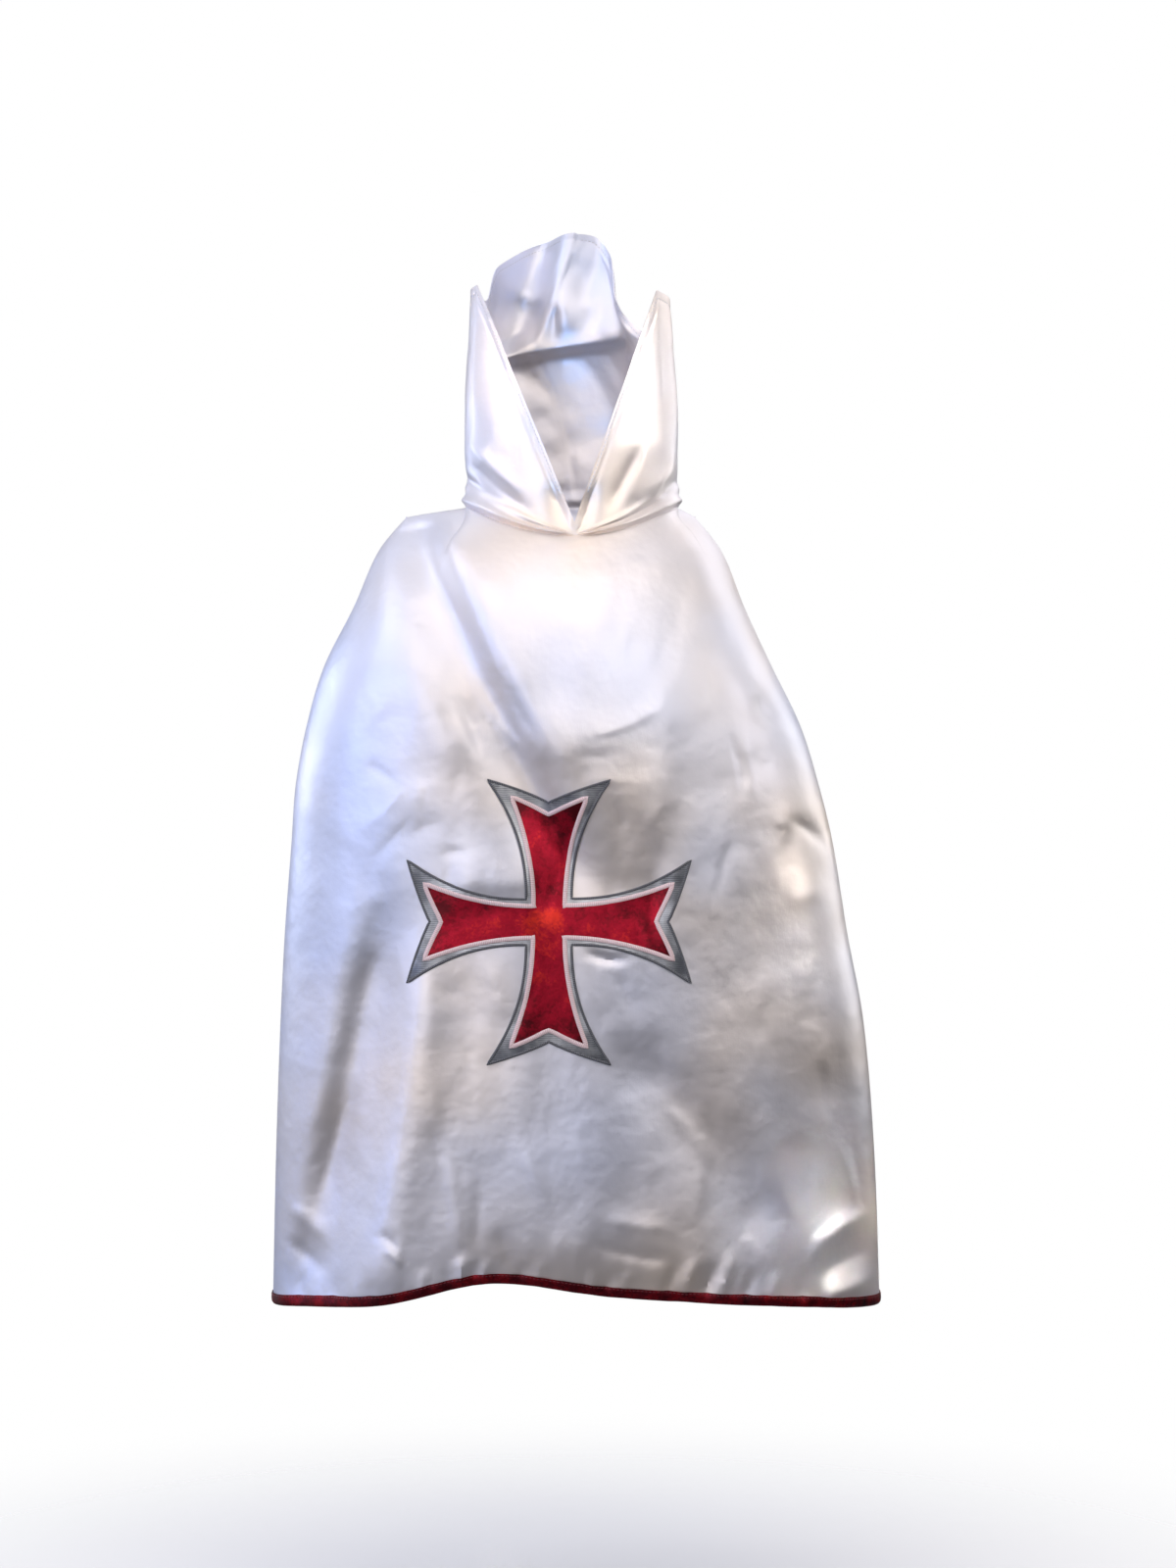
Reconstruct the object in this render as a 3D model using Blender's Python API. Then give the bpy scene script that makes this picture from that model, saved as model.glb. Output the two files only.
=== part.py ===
"""Hooded knight cape in satin, hollow as it is worn.

A front and a back panel joined at the shoulders and sides, a hood of two halves, a red bound hem
and a notched cross of two cloth layers on the front. Metres, +Z up, the front faces -Y. The
origin is the middle of the neck opening at the height of the shoulder seams.
"""

import math
from collections import namedtuple

import bmesh
import bpy
from mathutils import Vector

# Cloth and sewing
CLOTH = 0.0012  # wall of the satin panels and the hood
SEAM_GAP = 0.0003  # space between sewn pieces
BINDING_WALL = 0.0010  # wall of the folded hem binding
BINDING_HEIGHT = 0.0085  # how far the binding reaches up the panel
LAYER = 0.0010  # each cloth layer of the cross

# Neck opening, where the hood is sewn on
NECK_MIDDLE = 0.004  # the point of the hood's V, across
NECK_LEFT = -0.096
NECK_RIGHT = 0.099
NECK_FRONT = 0.062  # depth of the opening in front of the shoulder seams
NECK_BACK = 0.058
FRONT_DIP = 0.030  # the neckline hangs lower at the front
BACK_DIP = 0.004
SHOULDER_SLOPE = 0.008  # fall of a shoulder seam from neck to tip

# Body of the cape, by its drop below the shoulder seams
SECTION_POWER = 2.4  # above 2 gives flatter fronts and rounder sides
SHOULDER_ROUND = 0.085  # drop over which the cloth turns from shoulder to chest
NECK_SPREAD = 0.040  # drop over which the columns fan out from the neckline
Section = namedtuple("Section", "drop left right front back")
SECTIONS = (
    Section(0.008, -0.151, 0.115, 0.066, 0.060),
    Section(0.040, -0.176, 0.139, 0.080, 0.074),
    Section(0.092, -0.199, 0.160, 0.096, 0.088),
    Section(0.146, -0.226, 0.185, 0.106, 0.097),
    Section(0.200, -0.242, 0.211, 0.108, 0.102),
    Section(0.254, -0.252, 0.228, 0.108, 0.106),
    Section(0.308, -0.256, 0.241, 0.108, 0.110),
    Section(0.389, -0.262, 0.254, 0.109, 0.117),
    Section(0.470, -0.266, 0.269, 0.112, 0.124),
    Section(0.590, -0.270, 0.279, 0.119, 0.133),
    Section(0.735, -0.273, 0.284, 0.128, 0.142),
)

# Drop of the hem, from the side seam at -X, across -1, to the one at +X, across 1
Hem = namedtuple("Hem", "across front back")
HEMS = (
    Hem(-1.00, 0.727, 0.727),
    Hem(-0.62, 0.714, 0.720),
    Hem(-0.27, 0.694, 0.716),
    Hem(0.12, 0.706, 0.713),
    Hem(0.62, 0.715, 0.716),
    Hem(0.80, 0.720, 0.720),
    Hem(1.00, 0.727, 0.727),
)

# Folds run from one place on a panel to another. A rise above zero lifts the cloth outwards in a
# ridge, one below zero sinks it in a trough, and bow bends the line sideways.
FOLD_START = 0.25  # part of its length over which a fold comes up
FOLD_END = 0.20
FOLD_TOP_FADE = 0.030  # folds die out this near the neckline and shoulder seams
FOLD_SIDE_FADE = 8  # and near the side seams, as this power
Fold = namedtuple("Fold", "x0 drop0 x1 drop1 bow width0 width1 rise0 rise1")
FRONT_FOLDS = (
    # swag from the shoulder at -X to the top of the cross
    Fold(-0.130, 0.035, -0.014, 0.238, -0.004, 0.009, 0.017, -0.007, -0.015),
    Fold(-0.146, 0.046, -0.034, 0.246, -0.012, 0.011, 0.015, 0.007, 0.011),
    # chest sagging between the shoulders
    Fold(-0.050, 0.120, 0.085, 0.120, -0.030, 0.055, 0.055, 0.010, 0.010),
    Fold(-0.040, 0.222, 0.118, 0.190, -0.016, 0.016, 0.016, -0.011, -0.009),
    # shoulder at +X
    Fold(0.101, 0.024, 0.094, 0.135, 0.000, 0.011, 0.020, -0.006, -0.007),
    Fold(0.113, 0.030, 0.160, 0.190, 0.000, 0.012, 0.020, 0.005, 0.007),
    # side at -X
    Fold(-0.128, 0.250, -0.200, 0.305, 0.000, 0.014, 0.016, 0.006, 0.005),
    Fold(-0.124, 0.280, -0.192, 0.345, 0.000, 0.012, 0.016, -0.007, -0.006),
    Fold(-0.158, 0.323, -0.250, 0.740, 0.006, 0.019, 0.026, -0.006, -0.012),
    Fold(-0.128, 0.360, -0.196, 0.800, 0.006, 0.018, 0.034, 0.006, 0.018),
    # lower front
    Fold(-0.100, 0.428, -0.068, 0.800, 0.000, 0.022, 0.040, -0.005, -0.026),
    Fold(0.010, 0.500, 0.044, 0.800, 0.000, 0.030, 0.045, 0.004, 0.012),
    Fold(0.120, 0.420, 0.106, 0.800, 0.008, 0.024, 0.032, -0.006, -0.010),
    Fold(0.180, 0.400, 0.184, 0.800, 0.000, 0.018, 0.026, 0.005, 0.010),
    Fold(0.224, 0.480, 0.236, 0.690, 0.000, 0.014, 0.018, -0.006, -0.007),
)
BACK_FOLDS = (
    # swags from the shoulders
    Fold(-0.120, 0.060, -0.020, 0.300, 0.014, 0.014, 0.024, -0.005, -0.007),
    Fold(0.095, 0.060, 0.030, 0.290, -0.012, 0.012, 0.022, -0.005, -0.007),
    # flutes that widen to the hem
    Fold(-0.140, 0.220, -0.196, 0.800, 0.000, 0.018, 0.034, 0.005, 0.016),
    Fold(-0.090, 0.330, -0.118, 0.800, 0.006, 0.020, 0.032, -0.005, -0.017),
    Fold(-0.040, 0.260, -0.034, 0.800, 0.000, 0.022, 0.038, 0.005, 0.017),
    Fold(0.030, 0.380, 0.050, 0.800, -0.006, 0.020, 0.034, -0.004, -0.015),
    Fold(0.100, 0.240, 0.128, 0.800, 0.000, 0.020, 0.034, 0.005, 0.015),
    Fold(0.160, 0.320, 0.204, 0.800, 0.000, 0.018, 0.028, -0.005, -0.013),
)

# Hood edge. Turn goes round the neck from the V at the front, 0, to the centre seam, 180. The
# first row is a peak: a straight edge runs up to it from the V.
V_TOP = -0.018  # height at which the two front edges meet
Rim = namedtuple("Rim", "turn top inward back")
RIM_MINUS_X = (
    Rim(62, 0.200, 0.000, 0.000),
    Rim(80, 0.197, 0.004, 0.004),
    Rim(98, 0.192, 0.018, 0.002),
    Rim(118, 0.220, 0.013, 0.000),
    Rim(140, 0.240, 0.006, 0.004),
    Rim(160, 0.256, 0.000, 0.008),
    Rim(180, 0.263, 0.000, 0.010),
)
RIM_PLUS_X = (
    Rim(58, 0.195, 0.006, 0.000),
    Rim(78, 0.187, 0.006, 0.004),
    Rim(97, 0.163, 0.027, 0.012),
    Rim(113, 0.188, 0.044, 0.008),
    Rim(130, 0.236, 0.036, 0.004),
    Rim(155, 0.258, 0.016, 0.008),
    Rim(180, 0.263, 0.000, 0.010),
)
HOOD_BULGE = 0.004  # the sides stand out this much at half height

# The crown has sunk: the back of the hood sags in a pouch and buckles forward above it.
Buckle = namedtuple("Buckle", "height back shift")
BUCKLES = (
    Buckle(-0.005, 0.000, 0.000),
    Buckle(0.050, 0.022, -0.008),
    Buckle(0.105, 0.032, -0.022),
    Buckle(0.132, 0.018, -0.032),
    Buckle(0.152, -0.020, -0.038),
    Buckle(0.170, -0.016, -0.034),
    Buckle(0.205, 0.004, -0.020),
    Buckle(0.265, 0.014, 0.000),
)
BUCKLE_TILT = 0.13  # the buckle climbs towards +X
BUCKLE_TURN = (92, 142)  # turn over which the buckle comes in
SHIFT_TURN = (105, 180)  # turn over which the seam's sideways shift comes in
CROWN_HEIGHT = (0.140, 0.170)  # height over which the seam ridge comes in
SEAM_RIDGE = 0.007  # the centre seam stands forward inside the crown
SEAM_RIDGE_TURN = 16

# Notched cross with flaring arms
CROSS_X = -0.0185
CROSS_DROP = 0.376
Cross = namedtuple("Cross", "reach spread notch waist flare")
BORDER_CROSS = Cross(0.126, 0.055, 0.020, 0.0205, 2.2)
FACE_CROSS = Cross(0.109, 0.032, 0.015, 0.0125, 2.0)
ARM_STEPS = 7
CROSS_MARGIN = 0.030  # cloth taken round the cross before its outline is cut
CUT_FRONT = -0.20  # the outline is cut from here
CUT_LENGTH = 0.18

# Grid counts
SIDE_STEPS_MINUS_X = 8  # columns from a side seam to the neck
SIDE_STEPS_PLUS_X = 5
SIDE_SPACING = 1.7  # above 1 sets columns closer near the side seams
FRONT_STEPS = 13  # columns from the V to each side of the neck
BACK_STEPS = 9
BODY_ROWS = 27
ROW_SPACING = 1.2  # above 1 sets rows closer near the shoulders
HOOD_ROWS = 16
SMOOTH_ANGLE = math.radians(45)

# Across is -1 at the side seam at -X and 1 at the other, and is the same all down a column.
TIP_MIDDLE = (SECTIONS[0].left + SECTIONS[0].right) / 2
TIP_HALF = (SECTIONS[0].right - SECTIONS[0].left) / 2
ACROSS_LEFT = (NECK_LEFT - TIP_MIDDLE) / TIP_HALF
ACROSS_MIDDLE = (NECK_MIDDLE - TIP_MIDDLE) / TIP_HALF
ACROSS_RIGHT = (NECK_RIGHT - TIP_MIDDLE) / TIP_HALF


def smooth(t):
    t = min(max(t, 0.0), 1.0)
    return t * t * (3 - 2 * t)


def between(limits, at):
    return smooth((at - limits[0]) / (limits[1] - limits[0]))


def along(table, column, at):
    """Smooth curve through one column of a table, read by the table's first column."""
    keys = [row[0] for row in table]
    values = [getattr(row, column) for row in table]
    if at <= keys[0]:
        return values[0]
    if at >= keys[-1]:
        return values[-1]
    i = max(k for k in range(len(keys) - 1) if keys[k] <= at)
    before = max(i - 1, 0)
    after = min(i + 2, len(keys) - 1)
    span = keys[i + 1] - keys[i]
    t = (at - keys[i]) / span
    rise = values[i + 1] - values[i]
    slope0 = (values[i + 1] - values[before]) / (keys[i + 1] - keys[before]) * span
    slope1 = (values[after] - values[i]) / (keys[after] - keys[i]) * span
    bend = 3 * rise - 2 * slope0 - slope1
    twist = slope0 + slope1 - 2 * rise
    return values[i] + t * (slope0 + t * (bend + t * twist))


def fold_rise(fold, x, drop):
    run = fold.x1 - fold.x0
    fall = fold.drop1 - fold.drop0
    length = math.hypot(run, fall)
    t = ((x - fold.x0) * run + (drop - fold.drop0) * fall) / length**2
    if t <= 0 or t >= 1:
        return 0.0
    aside = ((x - fold.x0) * fall - (drop - fold.drop0) * run) / length - fold.bow * 4 * t * (1 - t)
    width = fold.width0 + (fold.width1 - fold.width0) * t
    rise = fold.rise0 + (fold.rise1 - fold.rise0) * t
    ends = smooth(t / FOLD_START) * smooth((1 - t) / FOLD_END)
    return rise * ends * math.exp(-((aside / width) ** 2))


def neck_part(across):
    """0 at the V, 1 at the sides of the neck and beyond."""
    if across <= ACROSS_MIDDLE:
        return min((ACROSS_MIDDLE - across) / (ACROSS_MIDDLE - ACROSS_LEFT), 1.0)
    return min((across - ACROSS_MIDDLE) / (ACROSS_RIGHT - ACROSS_MIDDLE), 1.0)


def top_drop(across, dip):
    """Drop of a panel's top edge: a shoulder seam, the neckline and the other shoulder seam."""
    if across < ACROSS_LEFT:
        return SHOULDER_SLOPE * (ACROSS_LEFT - across) / (ACROSS_LEFT + 1)
    if across > ACROSS_RIGHT:
        return SHOULDER_SLOPE * (across - ACROSS_RIGHT) / (1 - ACROSS_RIGHT)
    return dip * (1 - neck_part(across) ** 2)


def body_point(side, across, fall):
    """A point of a panel's outer face, fall going from 0 at its top edge to 1 at the hem."""
    front = side == "front"
    top = top_drop(across, FRONT_DIP if front else BACK_DIP)
    drop = top + (along(HEMS, side, across) - top) * fall
    left = along(SECTIONS, "left", drop)
    right = along(SECTIONS, "right", drop)
    x_top = TIP_MIDDLE + TIP_HALF * across
    x_wide = (left + right) / 2 + (right - left) / 2 * across
    x = x_top + (x_wide - x_top) * smooth((drop - top) / NECK_SPREAD)
    neck = (NECK_FRONT if front else NECK_BACK) * math.sqrt(1 - neck_part(across) ** 2)
    depth = along(SECTIONS, side, drop) * math.sqrt(max(0.0, 1 - abs(across) ** SECTION_POWER))
    turn = min((drop - top) / SHOULDER_ROUND, 1.0)
    out = neck + (depth - neck) * math.sqrt(1 - (1 - turn) ** 2)
    lift = sum(fold_rise(fold, x, drop) for fold in (FRONT_FOLDS if front else BACK_FOLDS))
    out += lift * (1 - abs(across) ** FOLD_SIDE_FADE) * smooth((drop - top) / FOLD_TOP_FADE)
    return Vector((x, -out if front else out, -drop))


def body_columns(neck_steps):
    """Places across, closer together where the cloth rounds the sides and the neck."""
    quarters = [math.pi / 2 * i / neck_steps for i in range(neck_steps + 1)]
    sides = [(i / SIDE_STEPS_MINUS_X) ** SIDE_SPACING for i in range(SIDE_STEPS_MINUS_X)]
    columns = [-1 + (ACROSS_LEFT + 1) * part for part in sides]
    columns += [ACROSS_MIDDLE - (ACROSS_MIDDLE - ACROSS_LEFT) * math.cos(turn) for turn in quarters[:-1]]
    columns += [ACROSS_MIDDLE + (ACROSS_RIGHT - ACROSS_MIDDLE) * math.sin(turn) for turn in quarters]
    sides = [(i / SIDE_STEPS_PLUS_X) ** SIDE_SPACING for i in range(SIDE_STEPS_PLUS_X)]
    columns += [1 - (1 - ACROSS_RIGHT) * part for part in reversed(sides)]
    return columns


def grid_normals(grid):
    """Unit normals of a grid of points, all on one side of it."""
    last_column = len(grid) - 1
    last_row = len(grid[0]) - 1
    normals = []
    for i in range(last_column + 1):
        column = []
        for j in range(last_row + 1):
            across = grid[min(i + 1, last_column)][j] - grid[max(i - 1, 0)][j]
            down = grid[i][min(j + 1, last_row)] - grid[i][max(j - 1, 0)]
            column.append(across.cross(down).normalized())
        normals.append(column)
    return normals


def moved(grid, normals, distance):
    return [[p + n * distance for p, n in zip(ps, ns)] for ps, ns in zip(grid, normals)]


def material(name, colour, metallic, roughness):
    made = bpy.data.materials.new(name)
    made.use_nodes = True
    shader = made.node_tree.nodes["Principled BSDF"]
    shader.inputs["Base Color"].default_value = (*colour, 1)
    shader.inputs["Metallic"].default_value = metallic
    shader.inputs["Roughness"].default_value = roughness
    made.diffuse_color = (*colour, 1)
    return made


def add_object(name, body, finish):
    bmesh.ops.recalc_face_normals(body, faces=body.faces)
    mesh = bpy.data.meshes.new(name)
    body.to_mesh(mesh)
    body.free()
    mesh.materials.append(finish)
    mesh.shade_smooth()
    mesh.set_sharp_from_angle(angle=SMOOTH_ANGLE)
    made = bpy.data.objects.new(name, mesh)
    bpy.context.scene.collection.objects.link(made)
    return made


def wall(name, outer, inner, finish):
    """Closed wall between two grids of one size, every cell split along the same diagonal."""
    body = bmesh.new()
    rims = []
    for grid in (outer, inner):
        verts = [[body.verts.new(point) for point in column] for column in grid]
        for one, two in zip(verts, verts[1:]):
            for j in range(len(one) - 1):
                body.faces.new((one[j], one[j + 1], two[j + 1]))
                body.faces.new((one[j], two[j + 1], two[j]))
        tops = [column[0] for column in verts[1:]]
        hems = [column[-1] for column in verts[1:]]
        rims.append(verts[0] + hems + verts[-1][-2:0:-1] + tops[::-1])
    for k in range(len(rims[0])):
        body.faces.new((rims[0][k - 1], rims[0][k], rims[1][k]))
        body.faces.new((rims[0][k - 1], rims[1][k], rims[1][k - 1]))
    return add_object(name, body, finish)


def body_grid(side, columns):
    """Outer face and normals of a panel. Its shoulder and side edges lie in the seam plane."""
    sign = -1 if side == "front" else 1
    above_binding = 1 - BINDING_HEIGHT / HEMS[0].front
    falls = [above_binding * (j / (BODY_ROWS - 1)) ** ROW_SPACING for j in range(BODY_ROWS)] + [1.0]
    grid = [[body_point(side, across, fall) for fall in falls] for across in columns]
    normals = grid_normals(grid)
    if normals[len(columns) // 2][-1].y * sign < 0:
        normals = [[-n for n in column] for column in normals]
    for across, points, facing in zip(columns, grid, normals):
        at_side = abs(across) == 1
        at_shoulder = neck_part(across) == 1
        for j, (point, normal) in enumerate(zip(points, facing)):
            if at_side or (at_shoulder and j == 0):
                point.y = sign * SEAM_GAP / 2
                normal.y = 0
                normal.normalize()
    return grid, normals


def binding(name, grid, normals, finish):
    """Tape folded round the hem: outside leg, bottom and inside leg, along the panel's last row."""
    near = SEAM_GAP
    far = SEAM_GAP + BINDING_WALL
    body = bmesh.new()
    rings = []
    for points, facing in zip(grid, normals):
        top, edge = points[-2:]
        out0, out1 = facing[-2:]
        down = (edge - top).normalized()
        outline = (
            top + out0 * far,
            edge + out1 * far + down * far,
            edge - out1 * (CLOTH + far) + down * far,
            top - out0 * (CLOTH + far),
            top - out0 * (CLOTH + near),
            edge - out1 * (CLOTH + near) + down * near,
            edge + out1 * near + down * near,
            top + out0 * near,
        )
        if points in (grid[0], grid[-1]):
            for point in outline:
                point.y = edge.y
        rings.append([body.verts.new(point) for point in outline])
    for one, two in zip(rings, rings[1:]):
        for k in range(len(one)):
            body.faces.new((one[k - 1], one[k], two[k], two[k - 1]))
    # the face against the panel's outside is split along the panel's own diagonal
    diagonals = [(one[7], one[6], two[6], two[7]) for one, two in zip(rings, rings[1:])]
    for up0, down0, down1, up1 in diagonals:
        body.faces.remove(body.faces.get((up0, down0, down1, up1)))
        body.faces.new((up0, down0, down1))
        body.faces.new((up0, down1, up1))
    for end in (rings[0], rings[-1]):
        for corners in ((0, 1, 6, 7), (1, 2, 5, 6), (2, 3, 4, 5)):
            body.faces.new([end[k] for k in corners])
    return add_object(name, body, finish)


def cross_outline(size):
    """Corners of the cross, arm by arm: flaring sides, two pointed tips and a notch at each end."""
    side = []
    for k in range(ARM_STEPS + 1):
        t = k / ARM_STEPS
        half = size.waist + (size.spread - size.waist) * t**size.flare
        side.append((size.waist + (size.reach - size.waist) * t, half))
    arm = [(r, -half) for r, half in side]
    arm.append((size.reach - size.notch, 0.0))
    arm += side[:0:-1]
    outline = []
    for c, s in ((1, 0), (0, 1), (-1, 0), (0, -1)):
        outline += [(r * c - w * s, r * s + w * c) for r, w in arm]
    return outline


def cross_layer(name, size, grid, normals, gap, finish):
    """A layer of the cross: the panel's own points moved out, kept inside the cross outline."""
    prism = bmesh.new()
    corners = [prism.verts.new((CROSS_X + x, CUT_FRONT, z - CROSS_DROP)) for x, z in cross_outline(size)]
    pushed = bmesh.ops.extrude_face_region(prism, geom=[prism.faces.new(corners)])
    ends = [item for item in pushed["geom"] if isinstance(item, bmesh.types.BMVert)]
    bmesh.ops.translate(prism, vec=(0, CUT_LENGTH, 0), verts=ends)
    cutter = add_object(name + "_outline", prism, finish)
    cutter.hide_render = True
    cutter.display_type = "WIRE"

    room = size.reach + CROSS_MARGIN
    columns = [i for i, points in enumerate(grid) if any(abs(p.x - CROSS_X) < room for p in points)]
    rows = [j for j, point in enumerate(grid[len(grid) // 2]) if abs(point.z + CROSS_DROP) < room]
    part = [[grid[i][j] for j in rows] for i in columns]
    facing = [[normals[i][j] for j in rows] for i in columns]
    layer = wall(name, moved(part, facing, gap + LAYER), moved(part, facing, gap), finish)
    cut = layer.modifiers.new("outline", "BOOLEAN")
    cut.operation = "INTERSECT"
    cut.solver = "EXACT"
    cut.object = cutter


def rim_point(base, turn, rims, sign):
    """Where the hood's edge stands above a point of the neck seam."""
    peak = rims[0]
    if turn > peak.turn:
        inward = along(rims, "inward", turn)
        return Vector((base.x - sign * inward, base.y + along(rims, "back", turn), along(rims, "top", turn)))
    part = math.sin(math.radians(turn)) / math.sin(math.radians(peak.turn))
    top = V_TOP + (peak.top - V_TOP) * part
    return Vector((base.x - sign * peak.inward * part, base.y + peak.back * part, top))


def hood_point(base, turn, rims, sign, part):
    point = base.lerp(rim_point(base, turn, rims, sign), part)
    angle = math.radians(turn)
    bulge = HOOD_BULGE * math.sin(math.pi * part) * math.sin(angle)
    point += Vector((sign * math.sin(angle), -math.cos(angle), 0)) * bulge
    height = point.z - BUCKLE_TILT * point.x
    point.y += along(BUCKLES, "back", height) * between(BUCKLE_TURN, turn)
    point.x += along(BUCKLES, "shift", height) * between(SHIFT_TURN, turn)
    ridge = math.exp(-(((180 - turn) / SEAM_RIDGE_TURN) ** 2))
    point.y -= SEAM_RIDGE * ridge * between(CROWN_HEIGHT, height)
    return point


def hood_grid(front, back):
    """Grid of the whole hood, from the V round the side at -X, the back and the side at +X to the V."""
    halves = []
    for sign, rims in ((-1, RIM_MINUS_X), (1, RIM_PLUS_X)):
        front_tops = [front[SIDE_STEPS_MINUS_X + FRONT_STEPS + sign * k][0] for k in range(FRONT_STEPS + 1)]
        back_tops = [back[SIDE_STEPS_MINUS_X + BACK_STEPS + sign * k][0] for k in range(BACK_STEPS)]
        turns = [90 * k / FRONT_STEPS for k in range(FRONT_STEPS + 1)]
        turns += [180 - 90 * k / BACK_STEPS for k in reversed(range(BACK_STEPS))]
        half = []
        for base, turn in zip(front_tops + back_tops[::-1], turns):
            seat = base + Vector((0, 0, SEAM_GAP))
            half.append([hood_point(seat, turn, rims, sign, j / HOOD_ROWS) for j in range(HOOD_ROWS + 1)])
        halves.append(half)
    return halves[0] + halves[1][-2::-1]


def hood(front, back, finish):
    """Two hood halves that meet at the V and at the centre seam."""
    grid = hood_grid(front, back)
    normals = grid_normals(grid)
    if normals[FRONT_STEPS][HOOD_ROWS // 2].x > 0:
        normals = [[-n for n in column] for column in normals]
    inside = moved(grid, normals, -CLOTH)
    seam = FRONT_STEPS + BACK_STEPS
    halves = (("hood_right", 0, seam + 1, -1), ("hood_left", seam, len(grid), 1))
    for name, first, end, sign in halves:
        outer = [[p.copy() for p in column] for column in grid[first:end]]
        inner = [[p.copy() for p in column] for column in inside[first:end]]
        for point in outer[0] + inner[0] + outer[-1] + inner[-1]:
            point.x += sign * SEAM_GAP / 2
        wall(name, outer, inner, finish)


def build():
    for old in list(bpy.data.objects):
        bpy.data.objects.remove(old)

    satin = material("silver_satin", (0.78, 0.78, 0.82), 0.35, 0.35)
    grey = material("silver_grey_cloth", (0.55, 0.56, 0.60), 0.5, 0.4)
    red = material("red_metallic_cloth", (0.50, 0.015, 0.02), 0.6, 0.35)

    front, front_normals = body_grid("front", body_columns(FRONT_STEPS))
    back, back_normals = body_grid("back", body_columns(BACK_STEPS))
    wall("cape_front", front, moved(front, front_normals, -CLOTH), satin)
    wall("cape_back", back, moved(back, back_normals, -CLOTH), satin)
    hood(front, back, satin)
    binding("hem_binding_front", front, front_normals, red)
    binding("hem_binding_back", back, back_normals, red)
    cross_layer("cross_border", BORDER_CROSS, front, front_normals, SEAM_GAP, grey)
    cross_layer("cross_face", FACE_CROSS, front, front_normals, 2 * SEAM_GAP + LAYER, red)


build()
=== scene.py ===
import math
import random

import bmesh
import bpy
import numpy as np
from mathutils import Matrix, Vector, noise


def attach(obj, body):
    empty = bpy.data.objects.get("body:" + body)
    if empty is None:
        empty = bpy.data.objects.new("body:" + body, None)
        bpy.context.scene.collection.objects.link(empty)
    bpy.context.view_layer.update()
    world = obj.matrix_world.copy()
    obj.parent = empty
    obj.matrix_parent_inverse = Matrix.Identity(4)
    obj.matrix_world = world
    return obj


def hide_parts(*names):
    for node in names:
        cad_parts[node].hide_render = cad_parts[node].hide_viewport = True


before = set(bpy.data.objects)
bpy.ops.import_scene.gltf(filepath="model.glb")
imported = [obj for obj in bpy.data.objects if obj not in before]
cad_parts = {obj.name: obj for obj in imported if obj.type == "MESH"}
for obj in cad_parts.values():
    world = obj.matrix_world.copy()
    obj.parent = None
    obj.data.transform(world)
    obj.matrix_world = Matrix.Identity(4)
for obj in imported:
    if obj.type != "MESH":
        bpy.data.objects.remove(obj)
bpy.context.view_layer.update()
print("frame loaded:", ", ".join(sorted(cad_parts)))

scene = bpy.context.scene
mm = 0.001

# camera at the photograph's level, straight on to the front
camera = {"place": (0.0162, -3.0, -0.2538), "lens": 75, "sensor": 36}

cameraData = bpy.data.cameras.new("camera")
cameraData.sensor_fit = "VERTICAL"
cameraData.sensor_height = camera["sensor"]
cameraData.lens = camera["lens"]
cameraObject = bpy.data.objects.new("camera", cameraData)
cameraObject.location = camera["place"]
cameraObject.rotation_euler = (math.radians(90), 0, 0)
scene.collection.objects.link(cameraObject)
scene.camera = cameraObject
print("camera set")


# materials

def hexColour(code):
    parts = [int(code[i:i + 2], 16) / 255 for i in (0, 2, 4)]
    return (*[c / 12.92 if c <= 0.04045 else ((c + 0.055) / 1.055) ** 2.4 for c in parts], 1)


def addNode(tree, kind, values=(), links=(), **settings):
    made = tree.nodes.new(kind)
    for key, value in settings.items():
        setattr(made, key, value)
    for key, value in dict(values).items():
        made.inputs[key].default_value = value
    for key, source in dict(links).items():
        tree.links.new(source, made.inputs[key])
    return made


def newMaterial(name):
    made = bpy.data.materials.new(name)
    made.use_nodes = True
    return made, made.node_tree, made.node_tree.nodes["Principled BSDF"]


def setRamp(ramp, places, codes):
    while len(ramp.elements) < len(places):
        ramp.elements.new(1)
    for element, place, code in zip(ramp.elements, places, codes):
        element.position = place
        element.color = hexColour(code)


rangeEnds = ("From Min", "From Max", "To Min", "To Max")
bumpSizes = ("Strength", "Distance")
waveUnit = 0.314  # scale at which a wave texture has one band to the unit

# polyester satin, woven with long floats and calendered: a pearly white that flashes like silver
satin = {
    "tones": ("DAE0F4", "E8E6EC", "F3E6DA"), "places": (0.24, 0.5, 0.72),  # cool, pearl, warm
    "patch": 160 * mm,  # size of the pearly patches
    "metallic": 0.80, "roughness": (0.40, 0.54), "sheen": 0.05, "sheenRoughness": 0.4,
    "thread": 1.4 * mm, "float": 16 * mm,  # real threads are 0.2 mm, drawn coarser so that they show
    "crinkle": 9 * mm, "slack": 26 * mm,
    "slackRelief": (0.36, 3.0 * mm), "crinkleRelief": (0.24, 0.8 * mm), "weaveRelief": (0.14, 0.25 * mm),
}


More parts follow.
